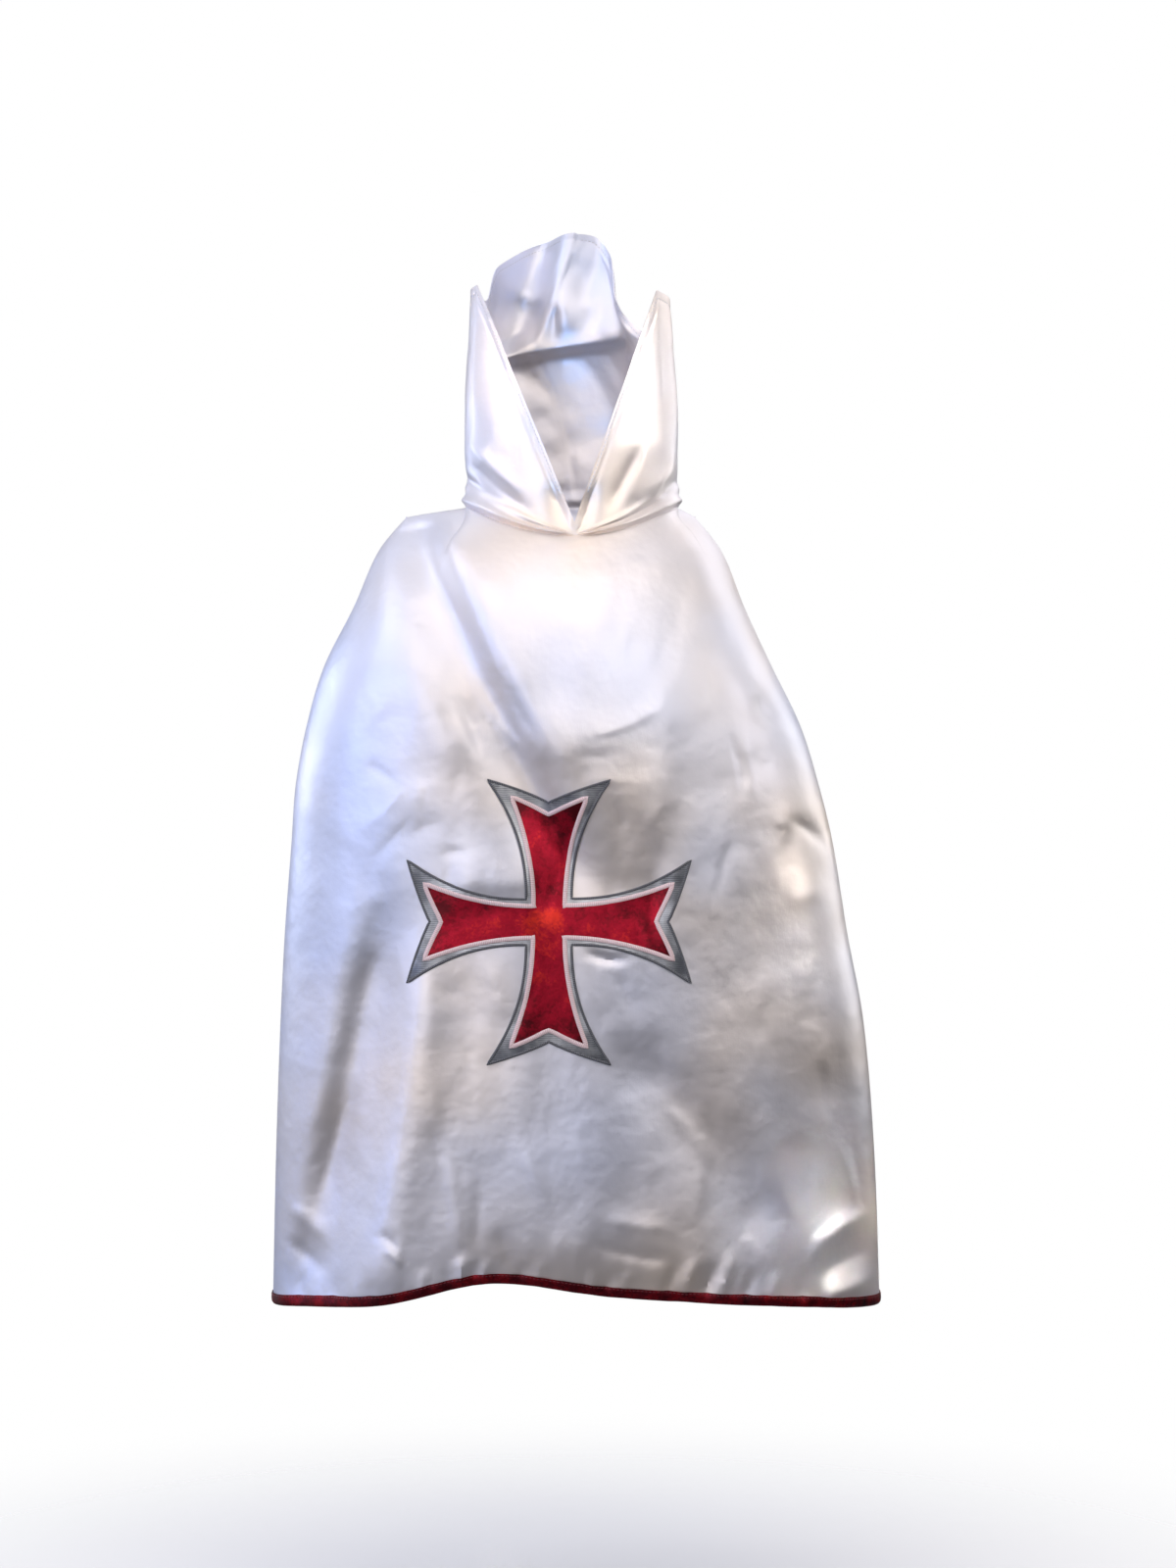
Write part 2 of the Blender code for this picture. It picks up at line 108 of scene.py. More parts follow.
def satinCloth(name, axis, lean):  # lean: from and to along the axis, tint at each
    made, tree, shader = newMaterial(name)
    place = addNode(tree, "ShaderNodeTexCoord").outputs["Object"]
    cloud = addNode(tree, "ShaderNodeTexNoise", {"Scale": 1 / satin["patch"], "Detail": 1.5},
                    {"Vector": place})
    sides = addNode(tree, "ShaderNodeSeparateXYZ", links={"Vector": place})
    # painted light: the tint leans towards the cool or the warm tone along one axis, standing in for coloured
    # lamps on that side
    paintedLightTint = addNode(tree, "ShaderNodeMapRange", zip(rangeEnds, lean), {"Value": sides.outputs[axis]},
                      interpolation_type="SMOOTHSTEP")
    mixed = addNode(tree, "ShaderNodeMath", {}, {0: cloud.outputs["Fac"], 1: paintedLightTint.outputs["Result"]},
                    operation="ADD")
    tint = addNode(tree, "ShaderNodeValToRGB", links={"Fac": mixed.outputs[0]})
    setRamp(tint.color_ramp, satin["places"], satin["tones"])
    tree.links.new(tint.outputs["Color"], shader.inputs["Base Color"])
    slack = addNode(tree, "ShaderNodeTexNoise", {"Scale": 1 / satin["slack"], "Detail": 2},
                    {"Vector": place})
    rough = addNode(tree, "ShaderNodeMapRange", zip(rangeEnds, (0, 1, *satin["roughness"])),
                    {"Value": slack.outputs["Fac"]})
    tree.links.new(rough.outputs["Result"], shader.inputs["Roughness"])
    shader.inputs["Metallic"].default_value = satin["metallic"]
    shader.inputs["Sheen Weight"].default_value = satin["sheen"]
    shader.inputs["Sheen Roughness"].default_value = satin["sheenRoughness"]
    # weave on the cloth's own map, over crinkles and slack in the cloth
    cloth = addNode(tree, "ShaderNodeUVMap", uv_map="cloth").outputs["UV"]
    drawn = addNode(tree, "ShaderNodeMapping", {"Scale": (1 / satin["thread"], 1 / satin["float"], 1)},
                    {"Vector": cloth})
    weave = addNode(tree, "ShaderNodeTexNoise", {"Scale": 1, "Detail": 2},
                    {"Vector": drawn.outputs["Vector"]})
    crinkle = addNode(tree, "ShaderNodeTexNoise", {"Scale": 1 / satin["crinkle"], "Detail": 3},
                      {"Vector": place})
    bump = addNode(tree, "ShaderNodeBump", zip(bumpSizes, satin["slackRelief"]),
                   {"Height": slack.outputs["Fac"]})
    bump = addNode(tree, "ShaderNodeBump", zip(bumpSizes, satin["crinkleRelief"]),
                   {"Height": crinkle.outputs["Fac"], "Normal": bump.outputs["Normal"]})
    bump = addNode(tree, "ShaderNodeBump", zip(bumpSizes, satin["weaveRelief"]),
                   {"Height": weave.outputs["Fac"], "Normal": bump.outputs["Normal"]})
    tree.links.new(bump.outputs["Normal"], shader.inputs["Normal"])
    return made


# red lame, a knit with metallised film threads: dark in the shade, glints where facets turn
redLame = {
    "cross": ("5A0412", "A80A28", "B60F2C", "F0382C"), "binding": ("2C020C", "600616", "840C1A", "A0101E"),
    "places": (0.30, 0.58, 0.72, 1.0), "facet": 2.2 * mm, "facetShare": 0.16, "cloud": 20 * mm,
    # the first range paints a highlight round the middle of the cross, the second paints shade at the ends of its
    # arms
    "paintedHighlight": (0.0, 0.26, 0.34, 0.0), "paintedShade": (0.55, 0.95, 0.0, -0.26),  # from, to as parts of the reach; tones
    "metallic": 0.75, "roughness": 0.36, "facetRelief": (0.6, 0.5 * mm), "cloudRelief": (0.4, 1.2 * mm),
}


def redCloth(name, tones, centre=None, reach=1):
    made, tree, shader = newMaterial(name)
    place = addNode(tree, "ShaderNodeTexCoord").outputs["Object"]
    cloud = addNode(tree, "ShaderNodeTexNoise", {"Scale": 1 / redLame["cloud"], "Detail": 3},
                    {"Vector": place})
    facets = addNode(tree, "ShaderNodeTexVoronoi", {"Scale": 1 / redLame["facet"]}, {"Vector": place})
    facetTone = addNode(tree, "ShaderNodeSeparateColor", links={"Color": facets.outputs["Color"]})
    tone = addNode(tree, "ShaderNodeMath", {1: redLame["facetShare"]}, {0: facetTone.outputs["Red"]},
                   operation="MULTIPLY")
    tone = addNode(tree, "ShaderNodeMath", {}, {0: tone.outputs[0], 1: cloud.outputs["Fac"]},
                   operation="ADD")
    if centre:  # the middle of the cross is brighter than the ends of its arms
        away = addNode(tree, "ShaderNodeVectorMath", {1: centre}, {0: place}, operation="DISTANCE")
        # painted highlight round the middle of the cross and painted shade towards the ends of its arms
        for low, high, start, end in (redLame["paintedHighlight"], redLame["paintedShade"]):
            near = addNode(tree, "ShaderNodeMapRange", zip(rangeEnds, (low * reach, high * reach, start, end)),
                           {"Value": away.outputs["Value"]}, interpolation_type="SMOOTHSTEP")
            tone = addNode(tree, "ShaderNodeMath", {}, {0: tone.outputs[0], 1: near.outputs["Result"]},
                           operation="ADD")
    ramp = addNode(tree, "ShaderNodeValToRGB", links={"Fac": tone.outputs[0]})
    setRamp(ramp.color_ramp, redLame["places"], tones)
    tree.links.new(ramp.outputs["Color"], shader.inputs["Base Color"])
    shader.inputs["Metallic"].default_value = redLame["metallic"]
    shader.inputs["Roughness"].default_value = redLame["roughness"]
    bump = addNode(tree, "ShaderNodeBump", zip(bumpSizes, redLame["facetRelief"]),
                   {"Height": facetTone.outputs["Green"]})
    bump = addNode(tree, "ShaderNodeBump", zip(bumpSizes, redLame["cloudRelief"]),
                   {"Height": cloud.outputs["Fac"], "Normal": bump.outputs["Normal"]})
    tree.links.new(bump.outputs["Normal"], shader.inputs["Normal"])
    return made


# silver-grey lame knit: even metal threads in close ribs, lighter towards the middle and darker at the tips of
# the cross
greyLame = {
    "tones": ("606369", "D6D8DC"), "places": (0.35, 0.9), "rib": 1.6 * mm, "ribShare": 0.2, "cloud": 18 * mm,
    "tips": (0.6, 1.0, 0.2, -0.2),  # from, to as parts of the reach; tones
    "metallic": 0.7, "roughness": 0.34, "ribRelief": (0.3, 0.3 * mm), "cloudRelief": (0.4, 1.5 * mm),
}


def greyCloth(name, centre, reach):
    made, tree, shader = newMaterial(name)
    place = addNode(tree, "ShaderNodeTexCoord").outputs["Object"]
    ribs = addNode(tree, "ShaderNodeTexWave",
                   {"Scale": waveUnit / greyLame["rib"], "Distortion": 2, "Detail": 2}, {"Vector": place},
                   wave_type="BANDS", bands_direction="Z")
    cloud = addNode(tree, "ShaderNodeTexNoise", {"Scale": 1 / greyLame["cloud"], "Detail": 3},
                    {"Vector": place})
    tone = addNode(tree, "ShaderNodeMath", {1: greyLame["ribShare"]}, {0: ribs.outputs["Fac"]},
                   operation="MULTIPLY")
    tone = addNode(tree, "ShaderNodeMath", {}, {0: tone.outputs[0], 1: cloud.outputs["Fac"]},
                   operation="ADD")
    away = addNode(tree, "ShaderNodeVectorMath", {1: centre}, {0: place}, operation="DISTANCE")
    low, high, start, end = greyLame["tips"]
    tips = addNode(tree, "ShaderNodeMapRange", zip(rangeEnds, (low * reach, high * reach, start, end)),
                   {"Value": away.outputs["Value"]}, interpolation_type="SMOOTHSTEP")
    tone = addNode(tree, "ShaderNodeMath", {}, {0: tone.outputs[0], 1: tips.outputs["Result"]},
                   operation="ADD")
    ramp = addNode(tree, "ShaderNodeValToRGB", links={"Fac": tone.outputs[0]})
    setRamp(ramp.color_ramp, greyLame["places"], greyLame["tones"])
    tree.links.new(ramp.outputs["Color"], shader.inputs["Base Color"])
    shader.inputs["Metallic"].default_value = greyLame["metallic"]
    shader.inputs["Roughness"].default_value = greyLame["roughness"]
    bump = addNode(tree, "ShaderNodeBump", zip(bumpSizes, greyLame["ribRelief"]),
                   {"Height": ribs.outputs["Fac"]})
    bump = addNode(tree, "ShaderNodeBump", zip(bumpSizes, greyLame["cloudRelief"]),
                   {"Height": cloud.outputs["Fac"], "Normal": bump.outputs["Normal"]})
    tree.links.new(bump.outputs["Normal"], shader.inputs["Normal"])
    return made


# spun polyester thread, laid close or in single stitches: soft, twisted, slightly shiny
spunThread = {"places": (0.1, 0.8), "roughness": 0.45, "sheen": 0.2, "relief": (0.5, 0.3 * mm)}


def threadFinish(name, light, dark, twist):
    made, tree, shader = newMaterial(name)
    run = addNode(tree, "ShaderNodeUVMap", uv_map="thread").outputs["UV"]
    twists = addNode(tree, "ShaderNodeTexWave", {"Scale": waveUnit / twist, "Distortion": 1.5, "Detail": 1},
                     {"Vector": run}, wave_type="BANDS", bands_direction="X")
    ramp = addNode(tree, "ShaderNodeValToRGB", links={"Fac": twists.outputs["Fac"]})
    setRamp(ramp.color_ramp, spunThread["places"], (dark, light))
    tree.links.new(ramp.outputs["Color"], shader.inputs["Base Color"])
    shader.inputs["Roughness"].default_value = spunThread["roughness"]
    shader.inputs["Sheen Weight"].default_value = spunThread["sheen"]
    bump = addNode(tree, "ShaderNodeBump", zip(bumpSizes, spunThread["relief"]),
                   {"Height": twists.outputs["Fac"]})
    tree.links.new(bump.outputs["Normal"], shader.inputs["Normal"])
    return made


# surface of the cape, in the same sizes as its solids

def smooth(t):
    t = np.clip(t, 0.0, 1.0)
    return t * t * (3 - 2 * t)


def between(value, low, high):  # 0 up to low, 1 from high on
    return smooth((value - low) / (high - low))


def along(table, column, at):  # smooth curve through one column of a table
    keys = np.array([row[0] for row in table], float)
    values = np.array([row[column] for row in table], float)
    last = len(keys) - 1
    low = np.maximum(np.arange(last + 1) - 1, 0)
    high = np.minimum(np.arange(last + 1) + 1, last)
    slopes = (values[high] - values[low]) / (keys[high] - keys[low])
    at = np.clip(at, keys[0], keys[-1])
    i = np.clip(np.searchsorted(keys, at, side="right") - 1, 0, last - 1)
    span = keys[i + 1] - keys[i]
    t = (at - keys[i]) / span
    rise = values[i + 1] - values[i]
    slope0, slope1 = slopes[i] * span, slopes[i + 1] * span
    return values[i] + t * (slope0 + t * (3 * rise - 2 * slope0 - slope1 + t * (slope0 + slope1 - 2 * rise)))


def crumple(a, b, seed):  # soft noise over two arrays
    flat = [noise.noise((u, v, seed)) for u, v in zip(np.ravel(a), np.ravel(b))]
    return np.array(flat).reshape(np.shape(a))


neck = {"middle": 0.004, "left": -0.096, "right": 0.099, "front": 0.062, "back": 0.058,
        "frontDip": 0.030, "backDip": 0.004, "slope": 0.008}

body = {
    "power": 2.4, "round": 0.085, "spread": 0.040,
    "sections": (  # drop, left, right, front, back
        (0.008, -0.151, 0.115, 0.066, 0.060), (0.040, -0.176, 0.139, 0.080, 0.074),
        (0.092, -0.199, 0.160, 0.096, 0.088), (0.146, -0.226, 0.185, 0.106, 0.097),
        (0.200, -0.242, 0.211, 0.108, 0.102), (0.254, -0.252, 0.228, 0.108, 0.106),
        (0.308, -0.256, 0.241, 0.108, 0.110), (0.389, -0.262, 0.254, 0.109, 0.117),
        (0.470, -0.266, 0.269, 0.112, 0.124), (0.590, -0.270, 0.279, 0.119, 0.133),
        (0.735, -0.273, 0.284, 0.128, 0.142)),
    "hems": (  # across, front drop, back drop
        (-1.00, 0.727, 0.727), (-0.62, 0.714, 0.720), (-0.27, 0.694, 0.716), (0.12, 0.706, 0.713),
        (0.62, 0.715, 0.716), (0.80, 0.720, 0.720), (1.00, 0.727, 0.727)),
    "foldStart": 0.25, "foldEnd": 0.20, "topFade": 18, "sideFade": 8,
    "creaseTopFade": 14, "creaseSideFade": 26,
    "crumples": ((1.8, 0.050, 0.120, 0), (0.7, 0.024, 0.050, 5), (0.15, 0.010, 0.016, 7)),
    "hemCrumple": (0.9, 0.011, 0.060, 9), "hemReach": 0.020,  # rise in mm, width, length, seed
    "seamPucker": (0.8, 0.012, 0.010, 13), "puckerReach": 0.012, "puckerStart": 0.004,
    "seeds": {"front": 3.7, "back": 21.4}, "seamTurn": 2.4 * mm, "seamDip": 0.9 * mm,
    "map": (0.32, 0.72),  # half width and height of the cloth's map
    "wall": 0.8 * mm, "neckGap": 0.3 * mm, "columns": 186, "rows": 248,
}

# large folds, in millimetres: x0, drop0, x1, drop1, bow, width0, width1, rise0, rise1,
# and a lean where one flank is wider than the other
frontFolds = (
    (-174, -50, 24, 370, -7, 30, 24, -17, -14, -0.2), (-137, -40, -4, 266, -6, 20, 20, 5, 5, 0.3),
    (-176, 60, -76, 246, -12, 30, 30, 2, 3),
    (-50, 213, 110, 169, -16, 34, 34, 4, 1, 0.25),
    (-40, 344, 96, 354, 0, 42, 38, -9, -8), (-24, 256, 104, 252, 0, 46, 44, 5, 4, 0.3),
    (101, 24, 94, 135, 0, 18, 26, -1.2, -1.6), (113, 30, 160, 190, 0, 16, 24, 2.5, 3),
    (-110, 236, -206, 318, 0, 22, 26, 1, 1), (-108, 276, -200, 356, 0, 20, 26, -0.8, -0.8),
    (-112, 338, -26, 340, 0, 20, 20, 3, 3, 0.3),
    (-156, 323, -262, 770, 6, 22, 30, -8, -28, 0.2), (-122, 360, -182, 752, 6, 20, 30, 6, 16, 0.15),
    (-104, 440, -96, 760, 0, 26, 36, 2, 3), (-10, 480, 6, 700, 0, 34, 45, 1, 2),
    (32, 470, 188, 668, 8, 24, 32, -7, -6, -0.1), (184, 304, 256, 324, 0, 24, 24, -4, -5),
    (-140, 702, 150, 722, 0, 34, 34, -10, -10),
    (178, 380, 196, 800, 0, 22, 28, 3, 4), (240, 470, 254, 690, 0, 14, 16, -3, -4))
backFolds = (
    (-120, 60, -20, 300, 14, 14, 24, -5, -7), (95, 60, 30, 290, -12, 12, 22, -5, -7),
    (-140, 220, -196, 800, 0, 18, 34, 5, 16), (-90, 330, -118, 800, 6, 20, 32, -5, -17),
    (-40, 260, -34, 800, 0, 22, 38, 5, 17), (30, 380, 50, 800, -6, 20, 34, -4, -15),
    (100, 240, 128, 800, 0, 20, 34, 5, 15), (160, 320, 204, 800, 0, 18, 28, -5, -13))

# creases listed in the same columns, with a keener crest
crease = {"crest": 0.6, "fade": 0.42}
frontCreases = (
    (-106, 171, -72, 244, 3, 7, 6, -2.5, -3, 0.3),  # swag lines beside the top of the cross
    (-92, 150, -30, 236, -5, 5, 5, 1.5, 2.5, -0.3),
    (-62, 150, -22, 226, -3, 5, 6, -1.5, -3, 0.2),
    (2, 213, 96, 173, -9, 6, 7, 1.2, 0.8, 0.4),  # lip under the chest
    (-8, 224, 62, 218, -8, 7, 7, -1, -0.7, -0.2),
    (6, 254, 66, 253, 2, 4, 5, 0.9, 0.6, 0.3),
    (38, 264, 48, 334, 3, 12, 11, -2, -1.6, 0.3),
    (66, 262, 78, 322, 4, 8, 8, 1.8, 1.2, 0.2),
    (140, 205, 155, 270, 4, 3.5, 3.5, -2.2, -2, 0.4),  # thin line down the +X side
    (150, 200, 163, 280, 4, 5, 5, 1.6, 1.6),
    (150, 290, 128, 372, -4, 5, 5, -1.6, -1.2, 0.2),
    (164, 172, 186, 206, 0, 9, 10, -3, -2.5),
    (194, 284, 240, 318, 3, 9, 9, -6, -6, 0.3),
    (186, 366, 246, 346, 3, 14, 14, 2, 2),
    (-140, 252, -196, 300, 3, 6, 7, 0.9, 0.9, 0.3),  # drag lines at the -X side
    (-134, 276, -188, 334, 0, 6, 7, -0.8, -0.8, 0.2),
    (-186, 232, -150, 256, 0, 5, 5, -1.4, -1.6),
    (-122, 318, -84, 316, 3, 4, 4, -0.9, -0.9),
    (10, 400, 56, 411, -4, 5, 5, -4, -3.2, 0.3),  # below the cross's arm
    (10, 393, 58, 402, -4, 4, 4, 1.6, 1.2),
    (34, 414, 60, 470, 3, 8, 9, -1.8, -1.4),
    (-76, 400, -52, 470, 0, 9, 9, 1.6, 1.2),
    (64, 520, 140, 610, 5, 9, 11, 1.6, 2, 0.2),  # lower front
    (-196, 520, -228, 640, 0, 7, 9, -2, -3, 0.3),
    (-176, 470, -196, 600, 0, 8, 10, 2, 2),
    (-110, 560, -96, 676, 0, 6, 8, 1.6, 2.2, 0.3),
    (-80, 580, -82, 690, 0, 5, 6, -1.4, -2),
    (-50, 560, -12, 640, 0, 8, 9, 1.6, 2, 0.2),
    (8, 656, 106, 676, -4, 9, 9, -2.5, -3, 0.2),
    (20, 634, 96, 646, -3, 9, 9, 2, 2.5),
    (-66, 640, -44, 696, 0, 9, 9, -2.5, -2.5),
    (208, 690, 280, 640, 12, 10, 11, 7, 8.5, 0.2),  # corner at +X
    (216, 700, 284, 674, 6, 9, 10, -2.5, -3, 0.2), (216, 720, 290, 700, 4, 12, 13, 5.5, 6.5),
    (224, 500, 232, 560, 0, 7, 7, -2, -2),
    (212, 560, 208, 640, 3, 9, 9, -2, -2.5),
    (240, 570, 262, 640, 0, 5, 5, 2, 2, 0.2),
    (252, 566, 268, 640, 0, 4, 4, -2.2, -2.2),
    (-262, 630, -214, 676, 5, 10, 11, 4, 4.5, 0.2),  # corner at -X
    (-266, 662, -218, 700, 4, 7, 7, -3, -3),
    (-176, 652, -150, 668, 4, 4, 4, -2, -2, 0.2),
    (-168, 664, -146, 682, 3, 4, 4, 1.8, 1.8),
    # puckers that rise from the binding
    (-246, 726, -240, 690, 0, 4, 4, -3, -1.6), (-232, 724, -222, 684, 0, 4, 5, 3, 1.6, 0.2),
    (-214, 722, -206, 690, 0, 4, 4, -3.3, -1.6), (-196, 720, -190, 682, 0, 4, 5, 3, 1.6),
    (-178, 718, -176, 690, 0, 4, 4, -2.4, -1.6), (-132, 712, -126, 676, 0, 4, 5, 2.4, 1.6),
    (-96, 704, -94, 664, 0, 4.5, 6, 4.8, 2.6, 0.2), (-86, 702, -84, 672, 0, 3.5, 4, -3.6, -1.9),
    (-78, 700, -72, 670, 0, 3.5, 4, 2.7, 1.6), (-44, 698, -40, 672, 0, 4, 5, -3, -1.6),
    (-30, 698, -24, 670, 0, 4, 4, 2.4, 1.3), (18, 706, 22, 678, 0, 4, 4, 2.7, 1.6),
    (30, 706, 38, 680, 0, 4, 4, -2.7, -1.6), (44, 708, 54, 680, 0, 4, 4, 2.4, 1.3),
    (84, 710, 96, 672, 0, 4, 5, -3, -1.9, 0.2), (98, 712, 116, 664, 0, 5, 6, 4.5, 2.6, 0.2),
    (116, 713, 130, 672, 0, 4, 5, -3.6, -1.9), (132, 714, 146, 662, 0, 5, 6, 4.2, 2.6, 0.2),
    (152, 715, 166, 680, 0, 4, 5, -3, -1.9), (176, 716, 186, 684, 0, 4, 5, 2.7, 1.6),
    (206, 718, 208, 680, 0, 4, 4, -3.9, -2.2), (232, 722, 234, 694, 0, 5, 5, 2.7, 1.9))
backCreases = (
    (-128, 70, -60, 190, 6, 6, 8, 1.6, 2.4, 0.3), (-104, 66, -30, 210, 8, 6, 8, -1.8, -2.6, 0.2),
    (92, 62, 48, 196, -6, 6, 8, 1.6, 2.4, -0.3), (106, 90, 70, 230, -6, 6, 9, -1.6, -2.2),
    (-60, 116, 40, 118, -14, 10, 10, -2, -2, 0.2), (-46, 140, 34, 146, -14, 8, 8, 1.8, 1.8),
    (-30, 186, 30, 190, -8, 8, 8, -1.6, -1.6),
    (-190, 200, -158, 300, 4, 7, 9, 1.8, 1.8, 0.2), (-206, 262, -150, 330, 0, 7, 8, -2.2, -2),
    (176, 196, 150, 300, -4, 7, 9, 1.8, 1.8, 0.2), (198, 250, 150, 330, 0, 7, 8, -2.2, -2),
    (-170, 380, -176, 600, 3, 9, 11, -2, -3, 0.2), (-70, 400, -86, 640, 3, 9, 12, 1.6, 2.6, 0.2),
    (0, 420, 10, 650, 3, 9, 12, -1.6, -2.4, 0.2), (72, 430, 90, 640, 3, 9, 12, -2, -3, 0.2),
    (136, 400, 168, 620, 3, 9, 11, 1.8, 2.8, 0.2), (-20, 560, -6, 690, 0, 8, 9, 1.6, 2),
    (-130, 600, -60, 650, 4, 8, 9, -1.8, -1.8), (60, 620, 130, 600, 4, 8, 9, 1.8, 1.8),
    (-240, 600, -190, 660, 0, 8, 8, 2.4, 2.4, 0.2), (190, 660, 250, 610, 0, 8, 8, 2.6, 2.6, 0.2),
    (-230, 722, -224, 690, 0, 4, 5, 2, 1), (-206, 722, -200, 684, 0, 4, 5, -2.2, -1),
    (-168, 720, -160, 690, 0, 4, 5, 1.8, 1), (-122, 718, -118, 680, 0, 4, 5, -2, -1.2),
    (-92, 716, -84, 684, 0, 4, 5, 2, 1), (-50, 716, -44, 686, 0, 4, 5, -1.6, -1),
    (-14, 715, -12, 680, 0, 4, 5, 2.2, 1.2), (28, 714, 32, 688, 0, 4, 5, -1.8, -1),
    (66, 714, 76, 682, 0, 4, 5, 2, 1.2), (112, 715, 118, 684, 0, 4, 5, -2.2, -1.2),
    (150, 716, 156, 688, 0, 4, 5, 1.6, 1), (196, 718, 202, 686, 0, 4, 5, 2, 1),
    (228, 722, 232, 690, 0, 4, 5, -1.8, -1))


def foldRise(folds, x, drop, keen):  # x and drop in millimetres, rise in millimetres
    total = np.zeros(np.shape(x))
    for x0, drop0, x1, drop1, bow, width0, width1, rise0, rise1, *lean in folds:
        run, fall = x1 - x0, drop1 - drop0
        length = math.hypot(run, fall)
        t = ((x - x0) * run + (drop - drop0) * fall) / length ** 2
        inside = (t > 0) & (t < 1)
        aside = ((x - x0) * fall - (drop - drop0) * run) / length - bow * 4 * t * (1 - t)
        width = np.where(inside, width0 + (width1 - width0) * t, 1)
        if lean:
            width = np.where(aside > 0, width * (1 + lean[0]), width * (1 - lean[0]))
        u = aside / width
        if keen:
            ends = smooth(t / crease["fade"]) * smooth((1 - t) / crease["fade"])
            crest = crease["crest"]
            shape = np.exp(crest - np.sqrt(crest ** 2 + (1 + 2 * crest) * u ** 2))
        else:
            ends = smooth(t / body["foldStart"]) * smooth((1 - t) / body["foldEnd"])
            shape = np.exp(-u ** 2)
        total += np.where(inside, (rise0 + (rise1 - rise0) * t) * ends * shape, 0.0)
    return total


# short drag lines between the large folds, in millimetres, straighter towards the hem
dragLines = {
    "front": (11, 90), "back": (29, 110),  # seed and count
    "x": (-250, 250), "drop": (60, 700), "length": (26, 80), "width": (4, 9), "taper": (0.8, 1.3),
    "rise": (0.3, 0.9), "bow": (-4, 4), "lean": (-0.4, 0.4),
    "stray": 34, "steadied": 22, "fan": 900,  # degrees at the top and taken off at the hem; x for a radian
}


def strewn(seed, count):
    draw = random.Random(seed)
    lines = []
    for k in range(count):
        x, drop = draw.uniform(*dragLines["x"]), draw.uniform(*dragLines["drop"])
        length = draw.uniform(*dragLines["length"])
        stray = dragLines["stray"] - dragLines["steadied"] * drop / dragLines["drop"][1]
        way = math.radians(draw.gauss(0, stray)) + x / dragLines["fan"]
        x1, drop1 = x + length * math.sin(way), drop + length * math.cos(way)
        width, rise = draw.uniform(*dragLines["width"]), draw.choice((-1, 1)) * draw.uniform(*dragLines["rise"])
        bow, taper = draw.uniform(*dragLines["bow"]), draw.uniform(*dragLines["taper"])
        lean = draw.uniform(*dragLines["lean"])
        lines.append((x, drop, x1, drop1, bow, width, width * taper, rise, rise, lean))
    return tuple(lines)


frontLines = frontCreases + strewn(*dragLines["front"])
backLines = backCreases + strewn(*dragLines["back"])

tipMiddle = (body["sections"][0][1] + body["sections"][0][2]) / 2
tipHalf = (body["sections"][0][2] - body["sections"][0][1]) / 2
acrossLeft, acrossMiddle, acrossRight = ((neck[k] - tipMiddle) / tipHalf for k in ("left", "middle", "right"))


def neckPart(across):  # 0 at the V, 1 at the sides of the neck and beyond
    before = (acrossMiddle - across) / (acrossMiddle - acrossLeft)
    after = (across - acrossMiddle) / (acrossRight - acrossMiddle)
    return np.minimum(np.where(across <= acrossMiddle, before, after), 1.0)


def topDrop(side, across):
    dip = neck[side + "Dip"]
    seamLeft = neck["slope"] * (acrossLeft - across) / (acrossLeft + 1)
    seamRight = neck["slope"] * (across - acrossRight) / (1 - acrossRight)
    neckline = dip * (1 - neckPart(across) ** 2)
    return np.where(across < acrossLeft, seamLeft, np.where(across > acrossRight, seamRight, neckline))


def panelOut(side, across, x, drop, top):  # how far the cloth stands out of the seam plane
    front = side == "front"
    neckOut = neck[side] * np.sqrt(np.maximum(0.0, 1 - neckPart(across) ** 2))
    depth = along(body["sections"], 3 if front else 4, drop)
    depth = depth * np.sqrt(np.maximum(0.0, 1 - np.abs(across) ** body["power"]))
    turn = np.minimum((drop - top) / body["round"], 1.0)
    out = neckOut + (depth - neckOut) * np.sqrt(np.maximum(0.0, 1 - (1 - turn) ** 2))
    below = (drop - top) / mm
    folds, creases = (frontFolds, frontLines) if front else (backFolds, backLines)
    lift = foldRise(folds, x / mm, drop / mm, False)
    lift = lift * (1 - np.abs(across) ** body["sideFade"]) * smooth(below / body["topFade"])
    fine = foldRise(creases, x / mm, drop / mm, True)
    seed = body["seeds"][side]
    for rise, wide, tall, other in body["crumples"]:
        fine = fine + rise * crumple(x / wide, drop / tall, seed + other)
    rise, wide, tall, other = body["hemCrumple"]
    aboveHem = along(body["hems"], 1 if front else 2, across) - drop
    fine = fine + rise * crumple(x / wide, drop / tall, seed + other) * np.exp(-aboveHem / body["hemReach"])
    fine = fine * (1 - np.abs(across) ** body["creaseSideFade"]) * smooth(below / body["creaseTopFade"])
    rise, wide, tall, other = body["seamPucker"]
    pucker = rise * crumple(drop / tall + x / wide, across * 0, seed + other)
    pucker = pucker * np.exp(-out / body["puckerReach"]) * smooth(out / body["puckerStart"])
    return out + (lift + fine + pucker) * mm


def panelPoints(side, across, fall):
    top = topDrop(side, across)
    hem = along(body["hems"], 1 if side == "front" else 2, across)
    drop = top + (hem - top) * fall
    left = along(body["sections"], 1, drop)
    right = along(body["sections"], 2, drop)
    xTop = tipMiddle + tipHalf * across
    xWide = (left + right) / 2 + (right - left) / 2 * across
    spread = body["spread"] * (1.02 - np.abs(across) ** 6)
    x = xTop + (xWide - xTop) * smooth((drop - top) / spread)
    out = panelOut(side, across, x, drop, top)
    return np.stack((x, -out if side == "front" else out, -drop), axis=-1)


def frontAt(x, drop):  # front surface below the shoulders, by place
    left = along(body["sections"], 1, drop)
    right = along(body["sections"], 2, drop)
    across = (x - (left + right) / 2) / ((right - left) / 2)
    out = panelOut("front", across, x, drop, topDrop("front", across))
    return np.stack((x, -out, -drop), axis=-1)


